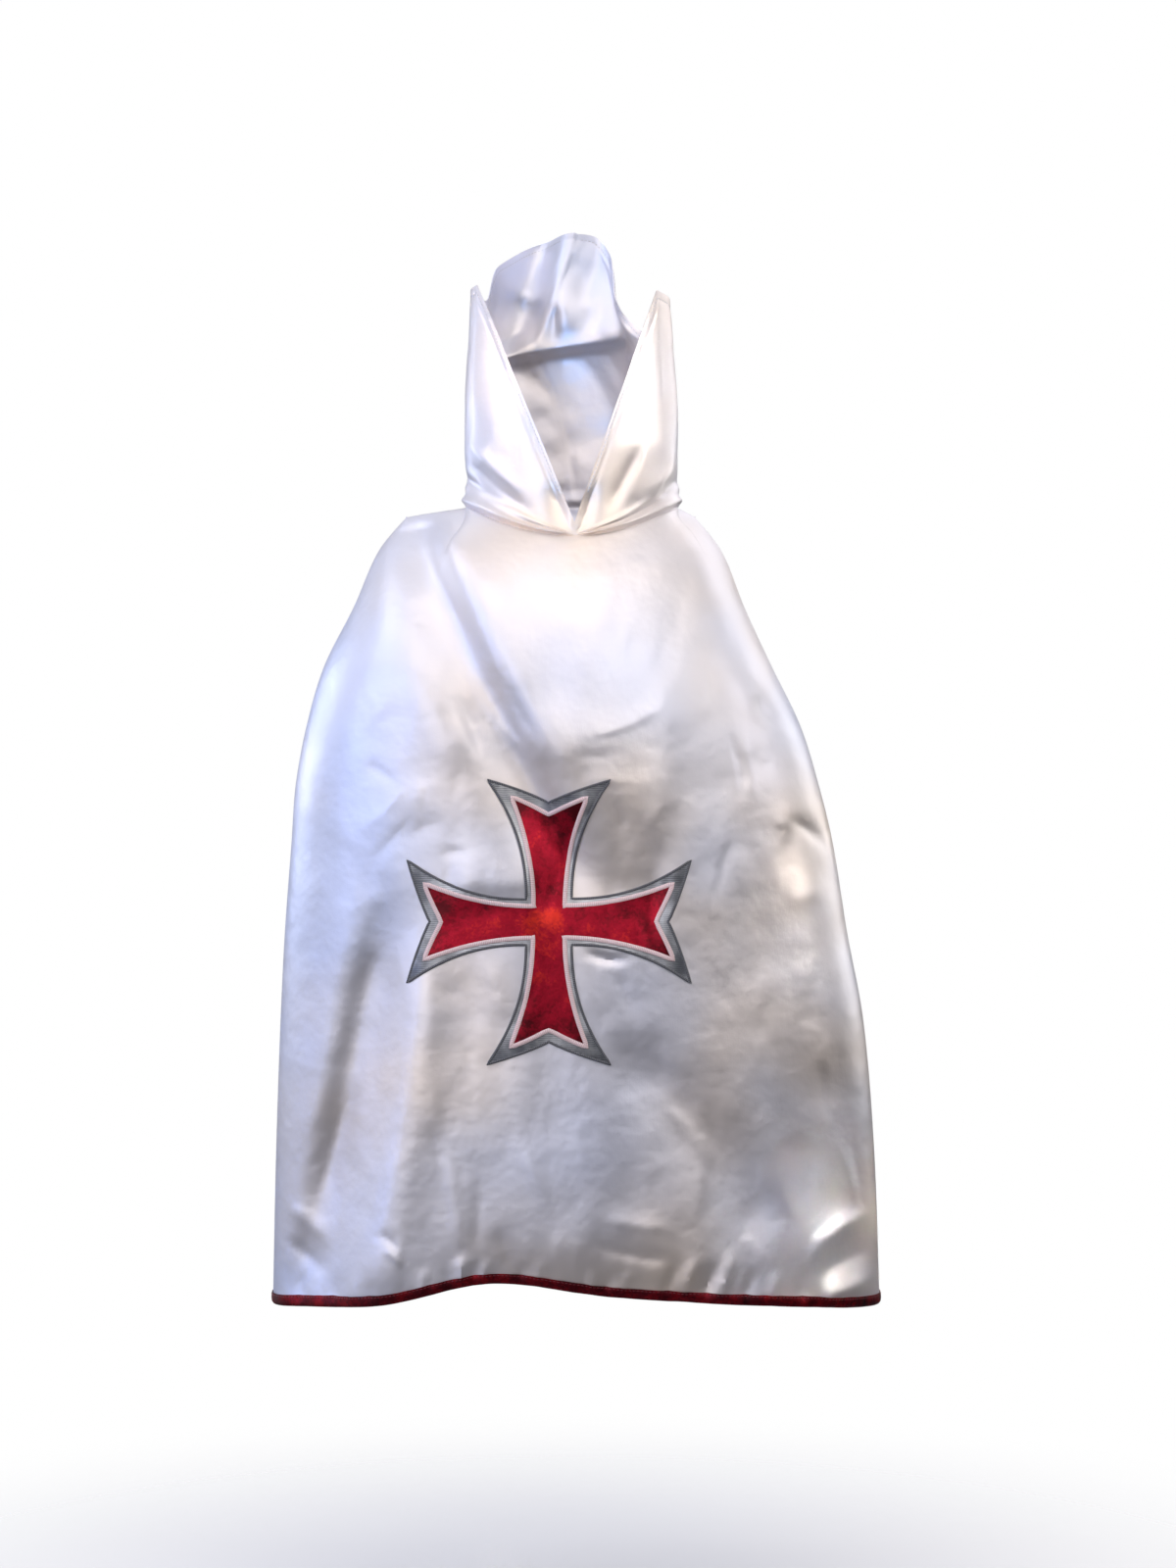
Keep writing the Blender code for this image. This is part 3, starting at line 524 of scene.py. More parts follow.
def frontNormal(x, drop):
    step = 0.5 * mm
    a = frontAt(x + step, drop) - frontAt(x - step, drop)
    b = frontAt(x, drop + step) - frontAt(x, drop - step)
    n = np.cross(b, a)
    return n / np.linalg.norm(n, axis=-1, keepdims=True)


def gridNormals(points):  # columns left to right and rows downwards, seen from outside
    a = np.gradient(points, axis=1)
    b = np.gradient(points, axis=0)
    n = np.cross(b, a)
    return n / np.maximum(np.linalg.norm(n, axis=-1, keepdims=True), 1e-12)


def spaced(count, low, high, close):  # places from low to high, closer together near some of them
    at = np.linspace(low, high, 6001)
    density = np.ones_like(at)
    for place, width, gain in close:
        density += gain * np.exp(-((at - place) / width) ** 2)
    total = np.concatenate(([0], np.cumsum((density[1:] + density[:-1]) / 2)))
    return np.interp(np.linspace(0, 1, count), total / total[-1], at)


def snap(places, keep):
    for value in keep:
        places[np.argmin(np.abs(places - value))] = value
    return places


def runAlong(points):  # distance from the start along the first axis
    steps = np.linalg.norm(np.diff(points, axis=0), axis=-1)
    return np.concatenate((np.zeros_like(steps[:1]), np.cumsum(steps, axis=0)))


def layMap(shape, layer, cells):
    for face in shape.faces:
        for loop in face.loops:
            loop[layer].uv = cells[loop.vert]


sharpAngle = 40  # degrees between faces from which an edge stays sharp


def finishPiece(name, shape, finish):
    mesh = bpy.data.meshes.new(name)
    shape.to_mesh(mesh)
    shape.free()
    mesh.materials.append(finish)
    mesh.shade_smooth()
    mesh.set_sharp_from_angle(angle=math.radians(sharpAngle))
    made = bpy.data.objects.new(name, mesh)
    scene.collection.objects.link(made)
    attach(made, "root")
    return made


def gridSheet(name, points, uv, finish, wall):  # a cloth sheet from a grid, given its wall on the inside
    rows, columns = points.shape[:2]
    sheet = bmesh.new()
    layer = sheet.loops.layers.uv.new("cloth")
    bmesh.ops.create_grid(sheet, x_segments=columns - 1, y_segments=rows - 1, size=0.5)
    cells = {}
    for vert in sheet.verts:
        i, j = round((vert.co.x + 0.5) * (columns - 1)), round((0.5 - vert.co.y) * (rows - 1))
        cells[vert] = uv[j, i]
        vert.co = points[j, i]
    layMap(sheet, layer, cells)
    sheet.normal_update()
    bmesh.ops.solidify(sheet, geom=sheet.faces[:], thickness=wall)
    return finishPiece(name, sheet, finish)


def threadBead(name, path, up, width, height, finish):  # closed line of satin stitch
    sides = 8
    ahead = np.roll(path, -1, axis=0) - np.roll(path, 1, axis=0)
    across = np.cross(ahead, up)
    across = across / np.linalg.norm(across, axis=-1, keepdims=True)
    run = runAlong(np.concatenate((path, path[:1])))
    count = len(path)
    bead = bmesh.new()
    layer = bead.loops.layers.uv.new("thread")
    bmesh.ops.create_grid(bead, x_segments=count, y_segments=sides, size=0.5)
    cells = {}
    for vert in bead.verts:
        i, j = round((vert.co.x + 0.5) * count), round((vert.co.y + 0.5) * sides)
        turn = 2 * math.pi * j / sides
        cells[vert] = (run[i], j / sides * width * 2)
        k = i % count
        vert.co = path[k] + across[k] * width / 2 * math.cos(turn) + up[k] * height * math.sin(turn)
    layMap(bead, layer, cells)
    bmesh.ops.remove_doubles(bead, verts=bead.verts[:], dist=0.001 * mm)
    bmesh.ops.recalc_face_normals(bead, faces=bead.faces[:])
    return finishPiece(name, bead, finish)


def stitchRow(name, path, up, finish, pitch, length, width):  # single stitches along a line
    run = runAlong(path)
    row = bmesh.new()
    layer = row.loops.layers.uv.new("thread")
    for at in np.arange(pitch, run[-1] - pitch, pitch):
        spots = [np.array([np.interp(at + d, run, line[:, k]) for k in range(3)])
                 for d, line in ((0, path), (length / 2, path), (-length / 2, path), (0, up))]
        along0, up0 = Vector(spots[1] - spots[2]).normalized(), Vector(spots[3]).normalized()
        side0 = up0.cross(along0).normalized()
        up0 = along0.cross(side0)
        turn = Matrix((side0 * width, up0 * width * 0.7, along0 * length / 2)).transposed()
        place = Matrix.Translation(spots[0]) @ turn.to_4x4()
        made = bmesh.ops.create_uvsphere(row, u_segments=6, v_segments=4, radius=1, matrix=place)
        for face in {f for v in made["verts"] for f in v.link_faces}:
            for loop in face.loops:
                loop[layer].uv = ((loop.vert.co - Vector(spots[0])).dot(along0) + at, 0)
    return finishPiece(name, row, finish)


stitchLift = 0.1 * mm  # middle of a stitch above the cloth
# the lean paints light: a cool tint on the -X side of the body and a warm one at the front of the hood
silverSatin = satinCloth("satin_polyester_woven", "X", (-0.29, -0.06, -0.26, 0.05))
hoodSatin = satinCloth("satin_polyester_woven_hood", "Y", (-0.05, 0.05, 0.07, 0.0))
silverThread = threadFinish("thread_polyester_silver", "E4E4EA", "A6A6B2", 0.8 * mm)
redThread = threadFinish("thread_polyester_red", "8A1024", "4A0412", 0.8 * mm)
print("materials made")

# body panels
across = snap(spaced(body["columns"], -1, 1, ((-1, 0.03, 5), (1, 0.03, 5), (acrossLeft, 0.03, 3.5),
                                              (acrossRight, 0.03, 3.5))),
              (acrossLeft, acrossMiddle, acrossRight))
falls = spaced(body["rows"], 0, 1, ((0, 0.02, 2.5), (1, 0.03, 1.2)))


def panelGrid(side):
    columns = across if side == "front" else across[::-1]
    a, f = np.meshgrid(columns, falls)
    points = panelPoints(side, a, f)
    normals = gridNormals(points)
    edge = np.exp(-(np.abs(points[..., 1]) / body["seamTurn"]) ** 2)  # the cloth turns in at the seams
    points = points - normals * (edge * body["seamDip"])[..., None]
    sign = -1 if side == "front" else 1
    points[..., 1] = sign * np.maximum(sign * points[..., 1], 0)
    wide, tall = body["map"]
    return points, np.stack((a * wide, -f * tall), axis=-1)


capeFront = gridSheet("cape_front_cloth", *panelGrid("front"), silverSatin, body["wall"])
capeBack = gridSheet("cape_back_cloth", *panelGrid("back"), silverSatin, body["wall"])
for piece, node in ((capeFront, "cape_front"), (capeBack, "cape_back")):
    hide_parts(node)
print("body panels made")

# hood: two halves round the neck, turn 0 at the V in front to 180 at the centre seam
hood = {
    "vTop": -0.018, "bulge": 0.004, "wall": 0.8 * mm,
    "rimMinusX": ((62, 0.200, 0.000, 0.000), (80, 0.197, 0.004, 0.004), (98, 0.192, 0.018, 0.002),
                  (118, 0.220, 0.013, 0.000), (140, 0.240, 0.006, 0.004), (160, 0.256, 0.000, 0.008),
                  (180, 0.263, 0.000, 0.010)),  # turn, top, inward, back
    "rimPlusX": ((58, 0.195, 0.006, 0.000), (78, 0.187, 0.006, 0.004), (97, 0.163, 0.027, 0.012),
                 (113, 0.188, 0.044, 0.008), (130, 0.236, 0.036, 0.004), (155, 0.258, 0.016, 0.008),
                 (180, 0.263, 0.000, 0.010)),
    "buckles": ((-0.005, 0.000, 0.000), (0.050, 0.012, -0.008), (0.110, 0.015, -0.020),
                (0.1360, 0.0125, -0.032), (0.1440, 0.0090, -0.034), (0.1500, 0.0005, -0.037),
                (0.1525, -0.0005, -0.037), (0.172, 0.0015, -0.034), (0.205, 0.006, -0.020),
                (0.265, 0.014, 0.000)),  # height, back, shift
    "buckleTilt": 0.20, "tiltRun": 0.26, "buckleTurn": (92, 142), "shiftTurn": (105, 180),
    "crownHeight": (0.140, 0.170), "seamRidge": 0.007, "seamRidgeTurn": 16,
    "facetTurn": (96, 118), "facetHeight": (0.150, 0.176), "neckArc": 1.28,  # mm for a degree of turn
    "seeds": {-1: 31.0, 1: 44.0}, "crumples": ((1.3, 34, 60, 0), (0.35, 13, 20, 3)),
    "slack": (2.4, 22, 30, 6), "slackTurn": (100, 120),  # rise, width and height in mm, seed
    "flatNeck": 0.10, "flatV": 8, "flatBack": 6, "hemFade": 4, "rollFade": 10,  # part of height, degrees
    "rolls": ((4.0, 0.034, 0.020), (1.8, 0.092, 0.024)),  # rise in mm, part of the height, width
    "hemRise": 0.45, "stitchDip": (0.5, 7.2, 1.3),  # dip, distance from the edge and width in mm
    "hem": 7 * mm, "hemTurn": (7, 176), "seamMeet": 0.1 * mm,
    "tuck": 7 * mm, "tuckIn": 0.15, "tuckRows": (0.3, 1), "columns": 110, "rows": 96,
    "stitch": {"pitch": 3.6 * mm, "length": 2.6 * mm, "width": 0.35 * mm},
}
# facets of the crown, x and height in millimetres, rise to the back
crownFolds = (
    (8, 300, -44, 110, 0, 20, 22, -16, -11, -0.3), (-18, 300, -50, 90, 0, 22, 30, 18, 26, 0.4),
    (40, 300, 50, 150, 0, 12, 14, 7, 7), (-13, 200, -20, 132, 0, 3, 13, 5, 12),
    (-30, 130, 80, 172, -4, 12, 12, -2.5, -3.5), (-90, 240, -20, 200, 6, 10, 10, -4, -4))
# creases in millimetres round the neck and upwards: place0, height0, place1, height1, then as above
hoodCreases = {
    -1: ((110, 46, 16, -22, 5, 9, 7, -4, -4, 0.2), (100, 66, 26, -6, 4, 9, 7, 3, 2),
         (126, 32, 30, -12, 2, 9, 7, -8, -6), (16, 20, 3, -28, 0, 6, 6, -4.5, -4.5),
         (60, 170, 34, 20, 6, 9, 12, 2, 2.5, 0.2),
         (150, 40, 220, 20, 0, 9, 9, -2, -2.5), (140, 80, 222, 66, -6, 10, 10, 2.2, 2.5)),
    1: ((56, 62, 20, -20, 0, 6, 6, -4.5, -5, 0.2), (62, 70, 32, -12, 0, 7, 6, 2.5, 2),
        (118, 28, 30, -22, 3, 7, 6, -7, -6, 0.3), (16, 20, 3, -28, 0, 6, 6, -4.5, -4.5),
        (96, 44, 56, 0, 2, 8, 7, 2.5, 2),
        (58, 160, 30, 30, 5, 9, 11, 1.6, 2.2, 0.2), (150, 40, 220, 16, 0, 9, 9, -2, -2.5),
        (138, 84, 222, 60, -6, 10, 10, 2.2, 2.5)),
}


def neckAcross(sign, turn):  # x of the neckline at a turn
    span = neck["middle"] - neck["left"] if sign < 0 else neck["right"] - neck["middle"]
    return neck["middle"] + sign * span * np.sin(np.radians(turn))


def hoodPoints(sign, turn, part):
    angle = np.radians(turn)
    s, c = np.sin(angle), np.cos(angle)
    base = np.stack((neckAcross(sign, turn), np.where(c > 0, -neck["front"] * c, -neck["back"] * c),
                     -np.where(c > 0, neck["frontDip"], neck["backDip"]) * c * c + body["neckGap"]), axis=-1)
    rims = hood["rimMinusX"] if sign < 0 else hood["rimPlusX"]
    peakTurn, peakTop, peakIn, peakBack = rims[0]
    share = np.minimum(s / math.sin(math.radians(peakTurn)), 1.0)
    past = turn > peakTurn
    inward = np.where(past, along(rims, 2, turn), peakIn * share)
    back = np.where(past, along(rims, 3, turn), peakBack * share)
    top = np.where(past, along(rims, 1, turn), hood["vTop"] + (peakTop - hood["vTop"]) * share)
    rim = np.stack((base[..., 0] - sign * inward, base[..., 1] + back, top), axis=-1)
    p = base + (rim - base) * part[..., None]
    bulge = hood["bulge"] * np.sin(math.pi * part) * s
    p = p + np.stack((sign * s, -c, 0 * s), axis=-1) * bulge[..., None]
    height = p[..., 2] - hood["buckleTilt"] * p[..., 0]
    p[..., 1] += along(hood["buckles"], 1, height) * between(turn, *hood["buckleTurn"])
    p[..., 0] += along(hood["buckles"], 2, height) * between(turn, *hood["shiftTurn"])
    ridge = np.exp(-((180 - turn) / hood["seamRidgeTurn"]) ** 2)
    p[..., 1] -= hood["seamRidge"] * ridge * between(height, *hood["crownHeight"])
    facets = foldRise(crownFolds, p[..., 0] / mm, p[..., 2] / mm, False)
    p[..., 1] += facets * mm * between(turn, *hood["facetTurn"]) * between(height, *hood["facetHeight"])
    return p


def hoodHem(points, turns):  # line of stitches inside the free edge
    run = runAlong(points)
    normals = gridNormals(points)
    line, up = [], []
    for column in range(points.shape[1]):
        if hood["hemTurn"][0] < turns[column] < hood["hemTurn"][1]:
            for found, grid in ((line, points), (up, normals)):
                found.append([np.interp(hood["hem"], run[:, column], grid[:, column, k]) for k in range(3)])
    return np.array(line), np.array(up)


def hoodGrid(sign):
    turns = spaced(hood["columns"], 0, 180, ((0, 6, 1.5), (60, 8, 1.0), (90, 8, 1.0), (180, 5, 1.5)))
    if sign < 0:
        turns = turns[::-1]
    parts = spaced(hood["rows"], 0, 1, ((0, 0.05, 1.5), (0.58, 0.03, 4.0), (1, 0.05, 1.5)))[::-1]
    t, p = np.meshgrid(turns, parts)
    follow = hood["buckleTilt"] * neckAcross(sign, t) / hood["tiltRun"]
    p = p + follow * np.sin(math.pi * p) ** 2  # rows follow the tilted fold
    points = hoodPoints(sign, t, p)
    normals = gridNormals(points)
    rim = points[0]
    gap = np.linalg.norm(points[:, :, None, :] - rim[None, None], axis=-1).min(axis=-1)  # to the free edge
    around = t * hood["neckArc"]
    height = points[..., 2] / mm
    rise = foldRise(hoodCreases[sign], around, height, True)
    seed = hood["seeds"][sign]
    for most, wide, tall, other in hood["crumples"]:
        rise = rise + most * crumple(around / wide, height / tall, seed + other)
    most, wide, tall, other = hood["slack"]  # at the back
    rise = rise + most * crumple(around / wide, height / tall, seed + other) * between(t, *hood["slackTurn"])
    rise = rise * smooth(p / hood["flatNeck"]) * smooth(t / hood["flatV"]) * smooth((180 - t) / hood["flatBack"])
    fade = smooth(t / hood["hemFade"])
    rise = rise + hood["hemRise"] * smooth(1 - 0.9 * gap / hood["hem"]) * fade  # turned hem
    dip, away, wide = hood["stitchDip"]
    rise = rise - dip * np.exp(-((gap / mm - away) / wide) ** 2) * fade  # pulled in by its stitches
    rolls = sum(most * np.exp(-((p - at) / wide) ** 2) for most, at, wide in hood["rolls"])
    rise = rise + rolls * smooth(t / hood["rollFade"])  # rolls above the neck seam
    points = points + normals * (rise * mm)[..., None]
    hemLines[sign] = hoodHem(points, turns)
    points[:, turns == 180, 0] -= sign * hood["seamMeet"]  # the two halves meet at the back seam
    middle = np.array((neck["middle"], 0, 0))
    inward = (middle - points[-1]) * (1, 1, 0)
    inward = inward / np.linalg.norm(inward, axis=-1, keepdims=True)
    inward = inward * hood["tuck"] * hood["tuckIn"]
    tuck = [points[-1] + inward - (0, 0, hood["tuck"] * k) for k in hood["tuckRows"]]
    points = np.concatenate((points, tuck))  # seam allowance inside the neck
    around = np.concatenate((t, t[-2:])) * hood["neckArc"] * mm
    return points, np.stack((around, points[..., 2]), axis=-1)


hemLines = {}
hoodRight = gridSheet("hood_right_cloth", *hoodGrid(-1), hoodSatin, hood["wall"])
hoodLeft = gridSheet("hood_left_cloth", *hoodGrid(1), hoodSatin, hood["wall"])
for piece, node, sign in ((hoodRight, "hood_right", -1), (hoodLeft, "hood_left", 1)):
    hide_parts(node)
    line, up = hemLines[sign]
    for ending, lift, facing in (("", stitchLift, up), ("_inside", -hood["wall"] - stitchLift, -up)):
        row = stitchRow(node + "_hem_stitches" + ending, line + up * lift, facing, silverThread, **hood["stitch"])
print("hood made")

# hem binding: tape folded over the raw edge
binding = {"height": 8.5 * mm, "wall": 0.5 * mm, "clear": 0.45 * mm, "profile": 13, "columns": 300,
           "leg": 0.42,  # share of the profile on each side of the edge
           "round": 0.5 * mm, "wobble": 0.5 * mm, "ripples": 22, "seed": 61, "below": 0.2 * mm,
           "map": (0.34, 20 * mm),
           "stitch": {"pitch": 3.6 * mm, "length": 2.7 * mm, "width": 0.35 * mm}}
bindingRed = redCloth("lame_red_folded", redLame["binding"])


def bindingGrid(side):
    columns = spaced(binding["columns"], -1, 1, ((-1, 0.03, 4), (1, 0.03, 4)))
    if side == "back":
        columns = columns[::-1]
    up = binding["height"] / body["map"][1]
    a, f = np.meshgrid(columns, (1 - up, 1.0))
    points = panelPoints(side, a, f)
    normals = gridNormals(points)
    top, edge, out = points[0], points[1], normals[1]
    down = edge - top
    length = np.linalg.norm(down, axis=-1, keepdims=True)
    down = down / length
    wobble = crumple(columns * binding["ripples"], columns * 0, binding["seed"])[:, None] * binding["wobble"]
    near = binding["clear"] + binding["wall"]
    inside = -(body["wall"] + binding["clear"])
    middle, half = (near + inside) / 2, (near - inside) / 2
    leg = binding["leg"]
    rows = []
    for t in np.linspace(0, 1, binding["profile"]):
        if t < leg:  # outside leg, slightly rounded
            u = t / leg
            lift = near + binding["round"] * math.sin(math.pi * u)
            rows.append(top + down * (length * u - wobble * (1 - u)) + out * lift)
        elif t > 1 - leg:  # inside leg
            rows.append(top + down * length * (1 - t) / leg + out * inside)
        else:  # turn under the edge
            turn = math.pi * (t - leg) / (1 - 2 * leg)
            below = binding["below"] + half * math.sin(turn)
            rows.append(edge + out * (middle + half * math.cos(turn)) + down * below)
    points = np.array(rows)
    points[:, 0, 1] = points[:, -1, 1] = 0  # ends on the seam plane
    wide, tall = binding["map"]
    u, v = np.meshgrid(columns * wide, np.linspace(0, -tall, binding["profile"]))
    return points, np.stack((u, v), axis=-1)


for side, panel in (("front", capeFront), ("back", capeBack)):
    node = "hem_binding_" + side
    points, uv = bindingGrid(side)
    tape = gridSheet(node + "_tape", points, uv, bindingRed, binding["wall"])
    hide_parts(node)
    up = gridNormals(points)[1]
    row = stitchRow(node + "_stitches", points[1] + up * stitchLift, up, redThread, **binding["stitch"])
print("hem binding made")

# notched cross: a grey cloth with a red one on it, both sewn flat on the front
cross = {
    "x": -0.0185, "drop": 0.376, "layer": 0.5 * mm, "clear": 0.45 * mm,
    "border": (0.126, 0.055, 0.020, 0.0205, 2.2),  # reach, spread, notch, waist, flare
    "face": (0.109, 0.032, 0.015, 0.0125, 2.0),
    "armAcross": 22, "armAlong": 34, "edgeSide": 40, "edgeEnd": 25,
    # the red's tones round this centre are a painted highlight in the middle and painted shade at the arm ends
    "depth": -0.11, "borderReach": 0.13, "faceReach": 0.125,  # where the tones are centred, and how far they go
}


def armPlace(size, s, t):  # s across an arm from -1 to 1, t from its root to its end
    reach, spread, notch, waist, flare = size
    end = reach - notch * (1 - np.abs(s))
    r = waist + (end - waist) * t
    half = waist + (spread - waist) * ((r - waist) / (reach - waist)) ** flare
    return r, s * half


def onFront(dx, dz, lift):
    x, drop = cross["x"] + dx, cross["drop"] - dz
    return frontAt(x, drop) + frontNormal(x, drop) * np.reshape(lift, (-1, 1))


def crossLayer(name, size, lift, finish):
    layer = bmesh.new()
    n, m = cross["armAcross"], cross["armAlong"]
    waist = size[3]
    bmesh.ops.create_grid(layer, x_segments=n, y_segments=n, size=waist)
    for quarter in range(4):
        arm = bmesh.ops.create_grid(layer, x_segments=n, y_segments=m, size=0.5)["verts"]
        s = np.array([v.co.x * 2 for v in arm])
        t = np.array([v.co.y + 0.5 for v in arm])
        r, w = armPlace(size, s, t)
        turn = Matrix.Rotation(math.radians(90 * quarter), 3, "Z")
        for v, ri, wi in zip(arm, r, w):
            v.co = turn @ Vector((wi, ri, 0))
    bmesh.ops.remove_doubles(layer, verts=layer.verts[:], dist=0.02 * mm)
    flat = np.array([v.co for v in layer.verts])
    placed = onFront(flat[:, 0], flat[:, 1], np.full(len(flat), lift))
    for v, p in zip(layer.verts, placed):
        v.co = p
    bmesh.ops.recalc_face_normals(layer, faces=layer.faces[:])
    layer.normal_update()
    if sum(f.normal.y for f in layer.faces) > 0:
        bmesh.ops.reverse_faces(layer, faces=layer.faces[:])
    layer.normal_update()
    bmesh.ops.solidify(layer, geom=layer.faces[:], thickness=cross["layer"])
    return finishPiece(name, layer, finish)


crossCentre = (cross["x"], cross["depth"], -cross["drop"])
borderLift = cross["clear"] + cross["layer"]
faceLift = borderLift + cross["clear"] + cross["layer"]
crossGrey = greyCloth("lame_silver_grey_knitted", crossCentre, cross["borderReach"])
crossRed = redCloth("lame_red_knitted", redLame["cross"], crossCentre, cross["faceReach"])
crossBorder = crossLayer("cross_border_cloth", cross["border"], borderLift, crossGrey)
crossFace = crossLayer("cross_face_cloth", cross["face"], faceLift, crossRed)


def crossEdge(name, size, lift, inset, finish, width, height):  # satin stitch round a layer
    sides = np.linspace(0.0, 1.0, cross["edgeSide"])[:-1]
    ends = np.linspace(1.0, -1.0, cross["edgeEnd"])[:-1]
    s = np.concatenate((np.ones_like(sides), ends, -np.ones_like(sides)))
    t = np.concatenate((sides, np.ones_like(ends), 1 - sides))
    r, w = armPlace(size, s, t)
    w = w - np.clip(w / (3 * abs(inset)), -1, 1) * inset
    r = r - inset * (t >= 1)
    flat = []
    for quarter in range(4):
        sine, cosine = math.sin(math.radians(90 * quarter)), math.cos(math.radians(90 * quarter))
        flat.append(np.stack((w * cosine - r * sine, w * sine + r * cosine), axis=-1))
    flat = np.concatenate(flat)
    path = onFront(flat[:, 0], flat[:, 1], np.full(len(flat), lift))
    up = frontNormal(cross["x"] + flat[:, 0], cross["drop"] - flat[:, 1])
    return threadBead(name, path, up, width, height, finish)


greyThread = threadFinish("thread_polyester_grey", "74767C", "2E3036", 1.6 * mm)
pinkThread = threadFinish("thread_polyester_pink", "F4E4E4", "E0B8BC", 1.6 * mm)
borderEdge = crossEdge("cross_border_edging", cross["border"], borderLift, 0.4 * mm, greyThread,
                       2.4 * mm, 0.6 * mm)
faceEdge = crossEdge("cross_face_edging", cross["face"], faceLift - 0.2 * mm, -1.4 * mm, pinkThread,
                     4.2 * mm, 0.7 * mm)
for piece, node, slot in ((crossBorder, "cross_border", "silver_grey_cloth"),
                          (crossFace, "cross_face", "red_metallic_cloth")):
    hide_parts(node)
print("cross made")

# studio: pale floor and soft light
stage = {"floor": -1.02, "size": 4.0, "fade": (0.2, 1.0, 1, 0), "bounce": 0.25,
         "bright": (-0.64, -0.10, 0.76), "sky": (-0.25, 0.95, 0.05, 0.76)}  # bright: way to the light of the room

floorShape = bmesh.new()
bmesh.ops.create_grid(floorShape, x_segments=1, y_segments=1, size=stage["size"])
bmesh.ops.translate(floorShape, verts=floorShape.verts[:], vec=(0, 0, stage["floor"]))
floorMesh = bpy.data.meshes.new("floor")
floorShape.to_mesh(floorMesh)
floorShape.free()
floorFinish, floorTree, floorShader = newMaterial("floor_paper_matt")
floorShader.inputs["Base Color"].default_value = hexColour("F0F0F0")
floorShader.inputs["Roughness"].default_value = 0.9
floorPlace = addNode(floorTree, "ShaderNodeTexCoord").outputs["Object"]
floorAway = addNode(floorTree, "ShaderNodeVectorMath", {1: (1, 1, 0)}, {0: floorPlace}, operation="MULTIPLY")
floorAway = addNode(floorTree, "ShaderNodeVectorMath", {}, {0: floorAway.outputs["Vector"]},
                    operation="LENGTH")
floorFade = addNode(floorTree, "ShaderNodeMapRange", zip(rangeEnds, stage["fade"]),
                    {"Value": floorAway.outputs["Value"]}, interpolation_type="SMOOTHSTEP")
floorSeen = addNode(floorTree, "ShaderNodeLightPath").outputs["Is Camera Ray"]
floorShare = addNode(floorTree, "ShaderNodeMapRange", zip(rangeEnds, (0, 1, stage["bounce"], 1)),
                     {"Value": floorSeen})
floorCover = addNode(floorTree, "ShaderNodeMath", {},
                     {0: floorFade.outputs["Result"], 1: floorShare.outputs["Result"]}, operation="MULTIPLY")
floorTree.links.new(floorCover.outputs[0], floorShader.inputs["Alpha"])
floorMesh.materials.append(floorFinish)
floor = bpy.data.objects.new("floor", floorMesh)
scene.collection.objects.link(floor)

world = bpy.data.worlds.new("studio")
scene.world = world
world.use_nodes = True
tree = world.node_tree
tree.nodes.clear()
way = addNode(tree, "ShaderNodeTexCoord").outputs["Generated"]
toward = addNode(tree, "ShaderNodeVectorMath", {1: stage["bright"]}, {0: way}, operation="DOT_PRODUCT")
sky = addNode(tree, "ShaderNodeMapRange", zip(rangeEnds, stage["sky"]), {"Value": toward.outputs["Value"]},
              interpolation_type="SMOOTHSTEP")
soft = addNode(tree, "ShaderNodeBackground", {"Color": hexColour("F0F0FA")},
               {"Strength": sky.outputs["Result"]})
paper = addNode(tree, "ShaderNodeBackground", {"Color": (1, 1, 1, 1), "Strength": 1.0})
seen = addNode(tree, "ShaderNodeLightPath")
both = addNode(tree, "ShaderNodeMixShader", {}, {0: seen.outputs["Is Camera Ray"], 1: soft.outputs[0],
                                                 2: paper.outputs[0]})
addNode(tree, "ShaderNodeOutputWorld", links={"Surface": both.outputs[0]})

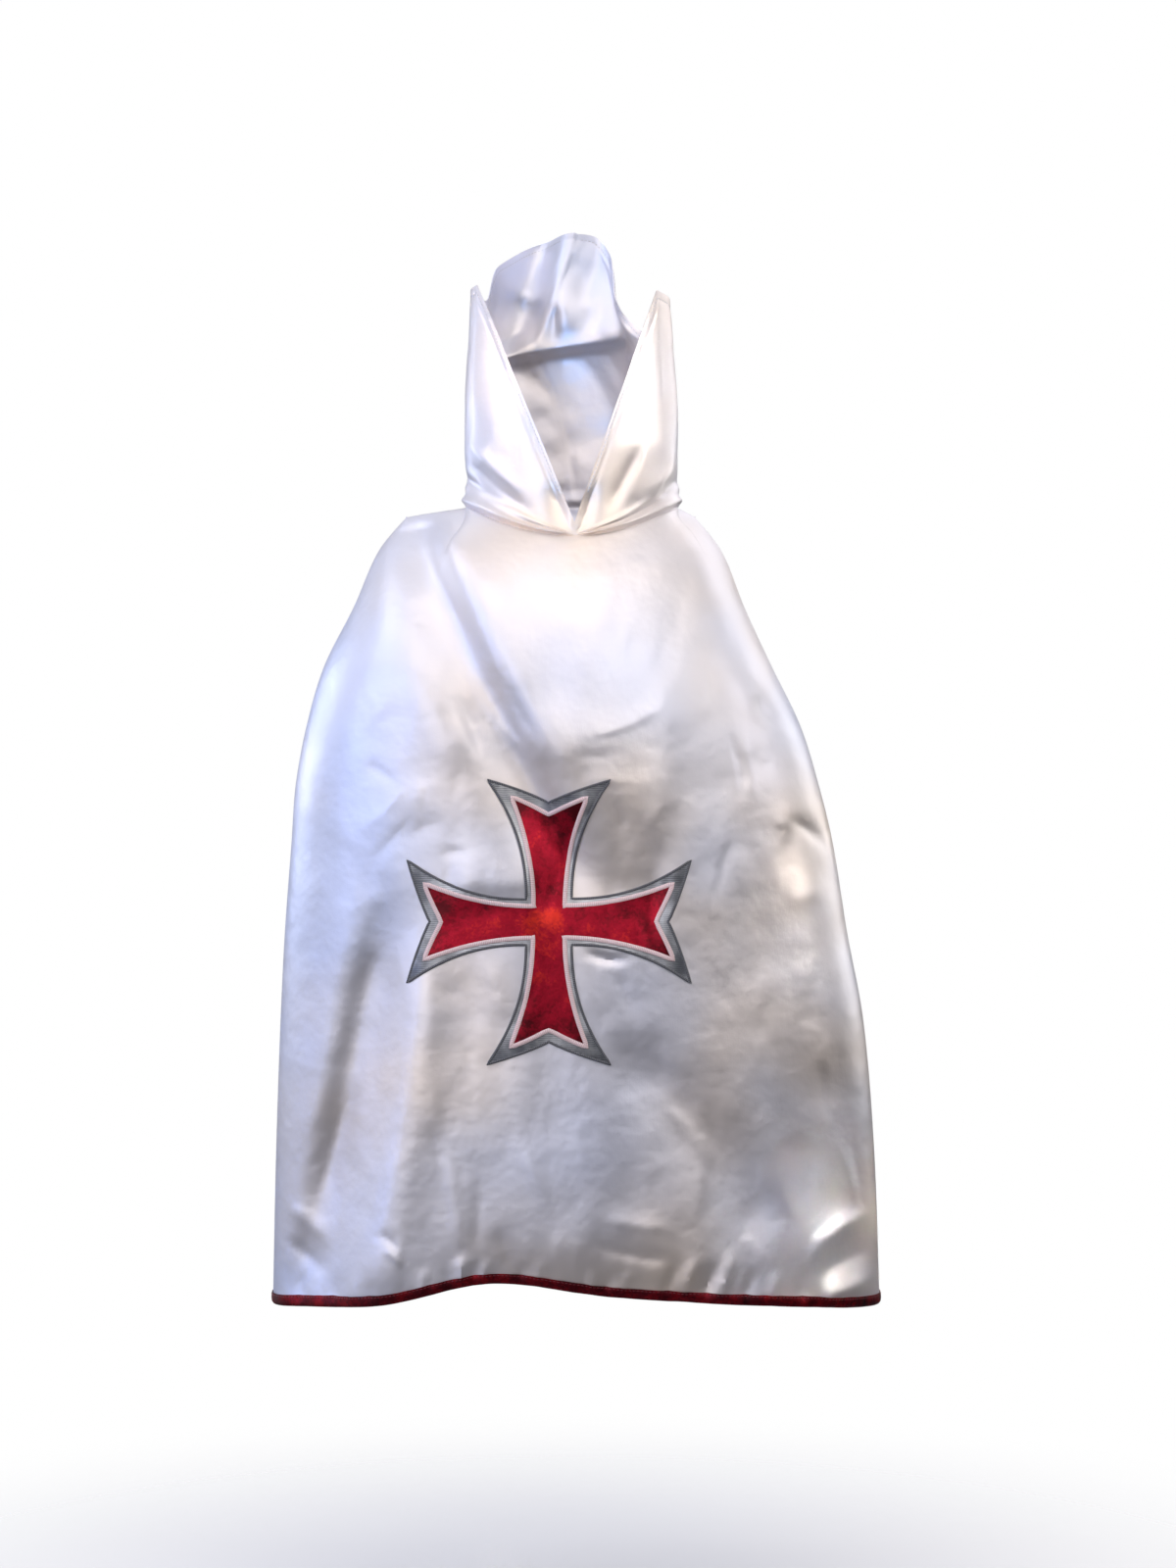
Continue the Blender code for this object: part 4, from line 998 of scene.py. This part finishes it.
lights = (  # name, place, aim, size across and up, watts, colour, spread
    ("key", (0.10, -1.15, 0.95), (0, 0, 0.0), (1.8, 1.0), 8.2, "FFF2E4", 180),
    ("left", (-1.4, -0.95, -0.15), (0, 0, -0.3), (0.5, 0.8), 2.1, "CAD6FF", 180),
    ("trough", (-1.4, -0.95, 0.2), (-0.08, -0.08, -0.19), (0.3, 0.3), 0.03, "8CB0FF", 16),
    ("upperLeft", (-1.2, -0.55, 0.95), (-0.1, 0, -0.05), (0.7, 0.7), 3.2, "E2EAFF", 180),
    ("right", (0.9, -0.7, 0.42), (0.08, -0.03, 0.0), (1.0, 1.0), 0.35, "FFFCF4", 100),
    ("flapMinusX", (-0.9, -0.8, 0.45), (-0.07, -0.05, 0.10), (0.1, 0.1), 0.018, "FFE2C4", 14),
    ("flapPlusX", (0.8, -0.6, 0.42), (0.075, -0.05, 0.09), (0.1, 0.1), 0.026, "FFFAF0", 14),
    ("rim", (1.1, 0.5, 0.8), (0.1, 0, -0.1), (1.1, 1.1), 6, "F8F8FF", 180),
    ("front", (-0.65, -2.2, 0.0), (0, 0, -0.35), (1.0, 0.7), 3.0, "F8F6FA", 180),
    ("leftFront", (-1.0, -1.95, 0.15), (-0.1, 0, -0.15), (0.6, 1.0), 3.0, "F8F6FC", 180),
    ("rightFront", (1.1, -1.9, 0.35), (0.1, 0, -0.15), (0.7, 0.8), 3.5, "FAFAFF", 180),
    ("leftEdge", (-1.65, 0.6, 0.05), (-0.2, 0, -0.15), (0.7, 0.7), 4.5, "DCE6FF", 180),
    ("rightEdge", (1.6, 0.7, -0.05), (0.2, 0, -0.3), (0.7, 0.9), 4.5, "FFFFFF", 180),
    ("side", (1.5, -0.6, 0.2), (0.2, 0, -0.28), (0.5, 0.5), 0.35, "F6F6FF", 60),
    ("chest", (0.18, -1.6, 0.55), (0.07, -0.1, -0.16), (0.3, 0.2), 0.007, "FFF0DC", 11),
    ("chestLow", (0.45, -1.9, 0.2), (0.14, -0.1, -0.16), (0.3, 0.2), 0.016, "FFF8F0", 9),
    ("face", (-0.15, -0.8, -0.2), (0, 0.03, 0.13), (0.2, 0.2), 0.062, "94C0FF", 30),
    ("hip", (1.35, -0.5, -0.1), (0.225, -0.07, -0.37), (0.1, 0.1), 0.004, "FFF6E8", 8),
    ("lowLeft", (-1.5, -0.35, -0.3), (-0.165, -0.08, -0.6), (0.3, 0.3), 0.014, "7CA4FF", 12),
    ("low", (1.12, -0.67, -0.05), (0.235, -0.06, -0.66), (0.06, 0.06), 0.028, "FFF0DC", 10),
    ("top", (0, 0.3, 1.2), (0, 0, 0), (0.9, 0.7), 1.8, "FFFFFF", 180),
    ("behind", (0.5, 2.4, 0.9), (0, 0, -0.3), (1.4, 1.4), 10, "F4F6FF", 180))
for name, place, aim, size, watts, colour, spread in lights:
    data = bpy.data.lights.new(name, "AREA")
    data.shape = "RECTANGLE"
    data.size, data.size_y = size
    data.energy = watts
    data.spread = math.radians(spread)
    data.color = hexColour(colour)[:3]
    lamp = bpy.data.objects.new(name, data)
    lamp.location = place
    lamp.rotation_euler = (Vector(aim) - Vector(place)).to_track_quat("-Z", "Y").to_euler()
    scene.collection.objects.link(lamp)
scene.view_settings.view_transform = "Standard"
print("studio lit")
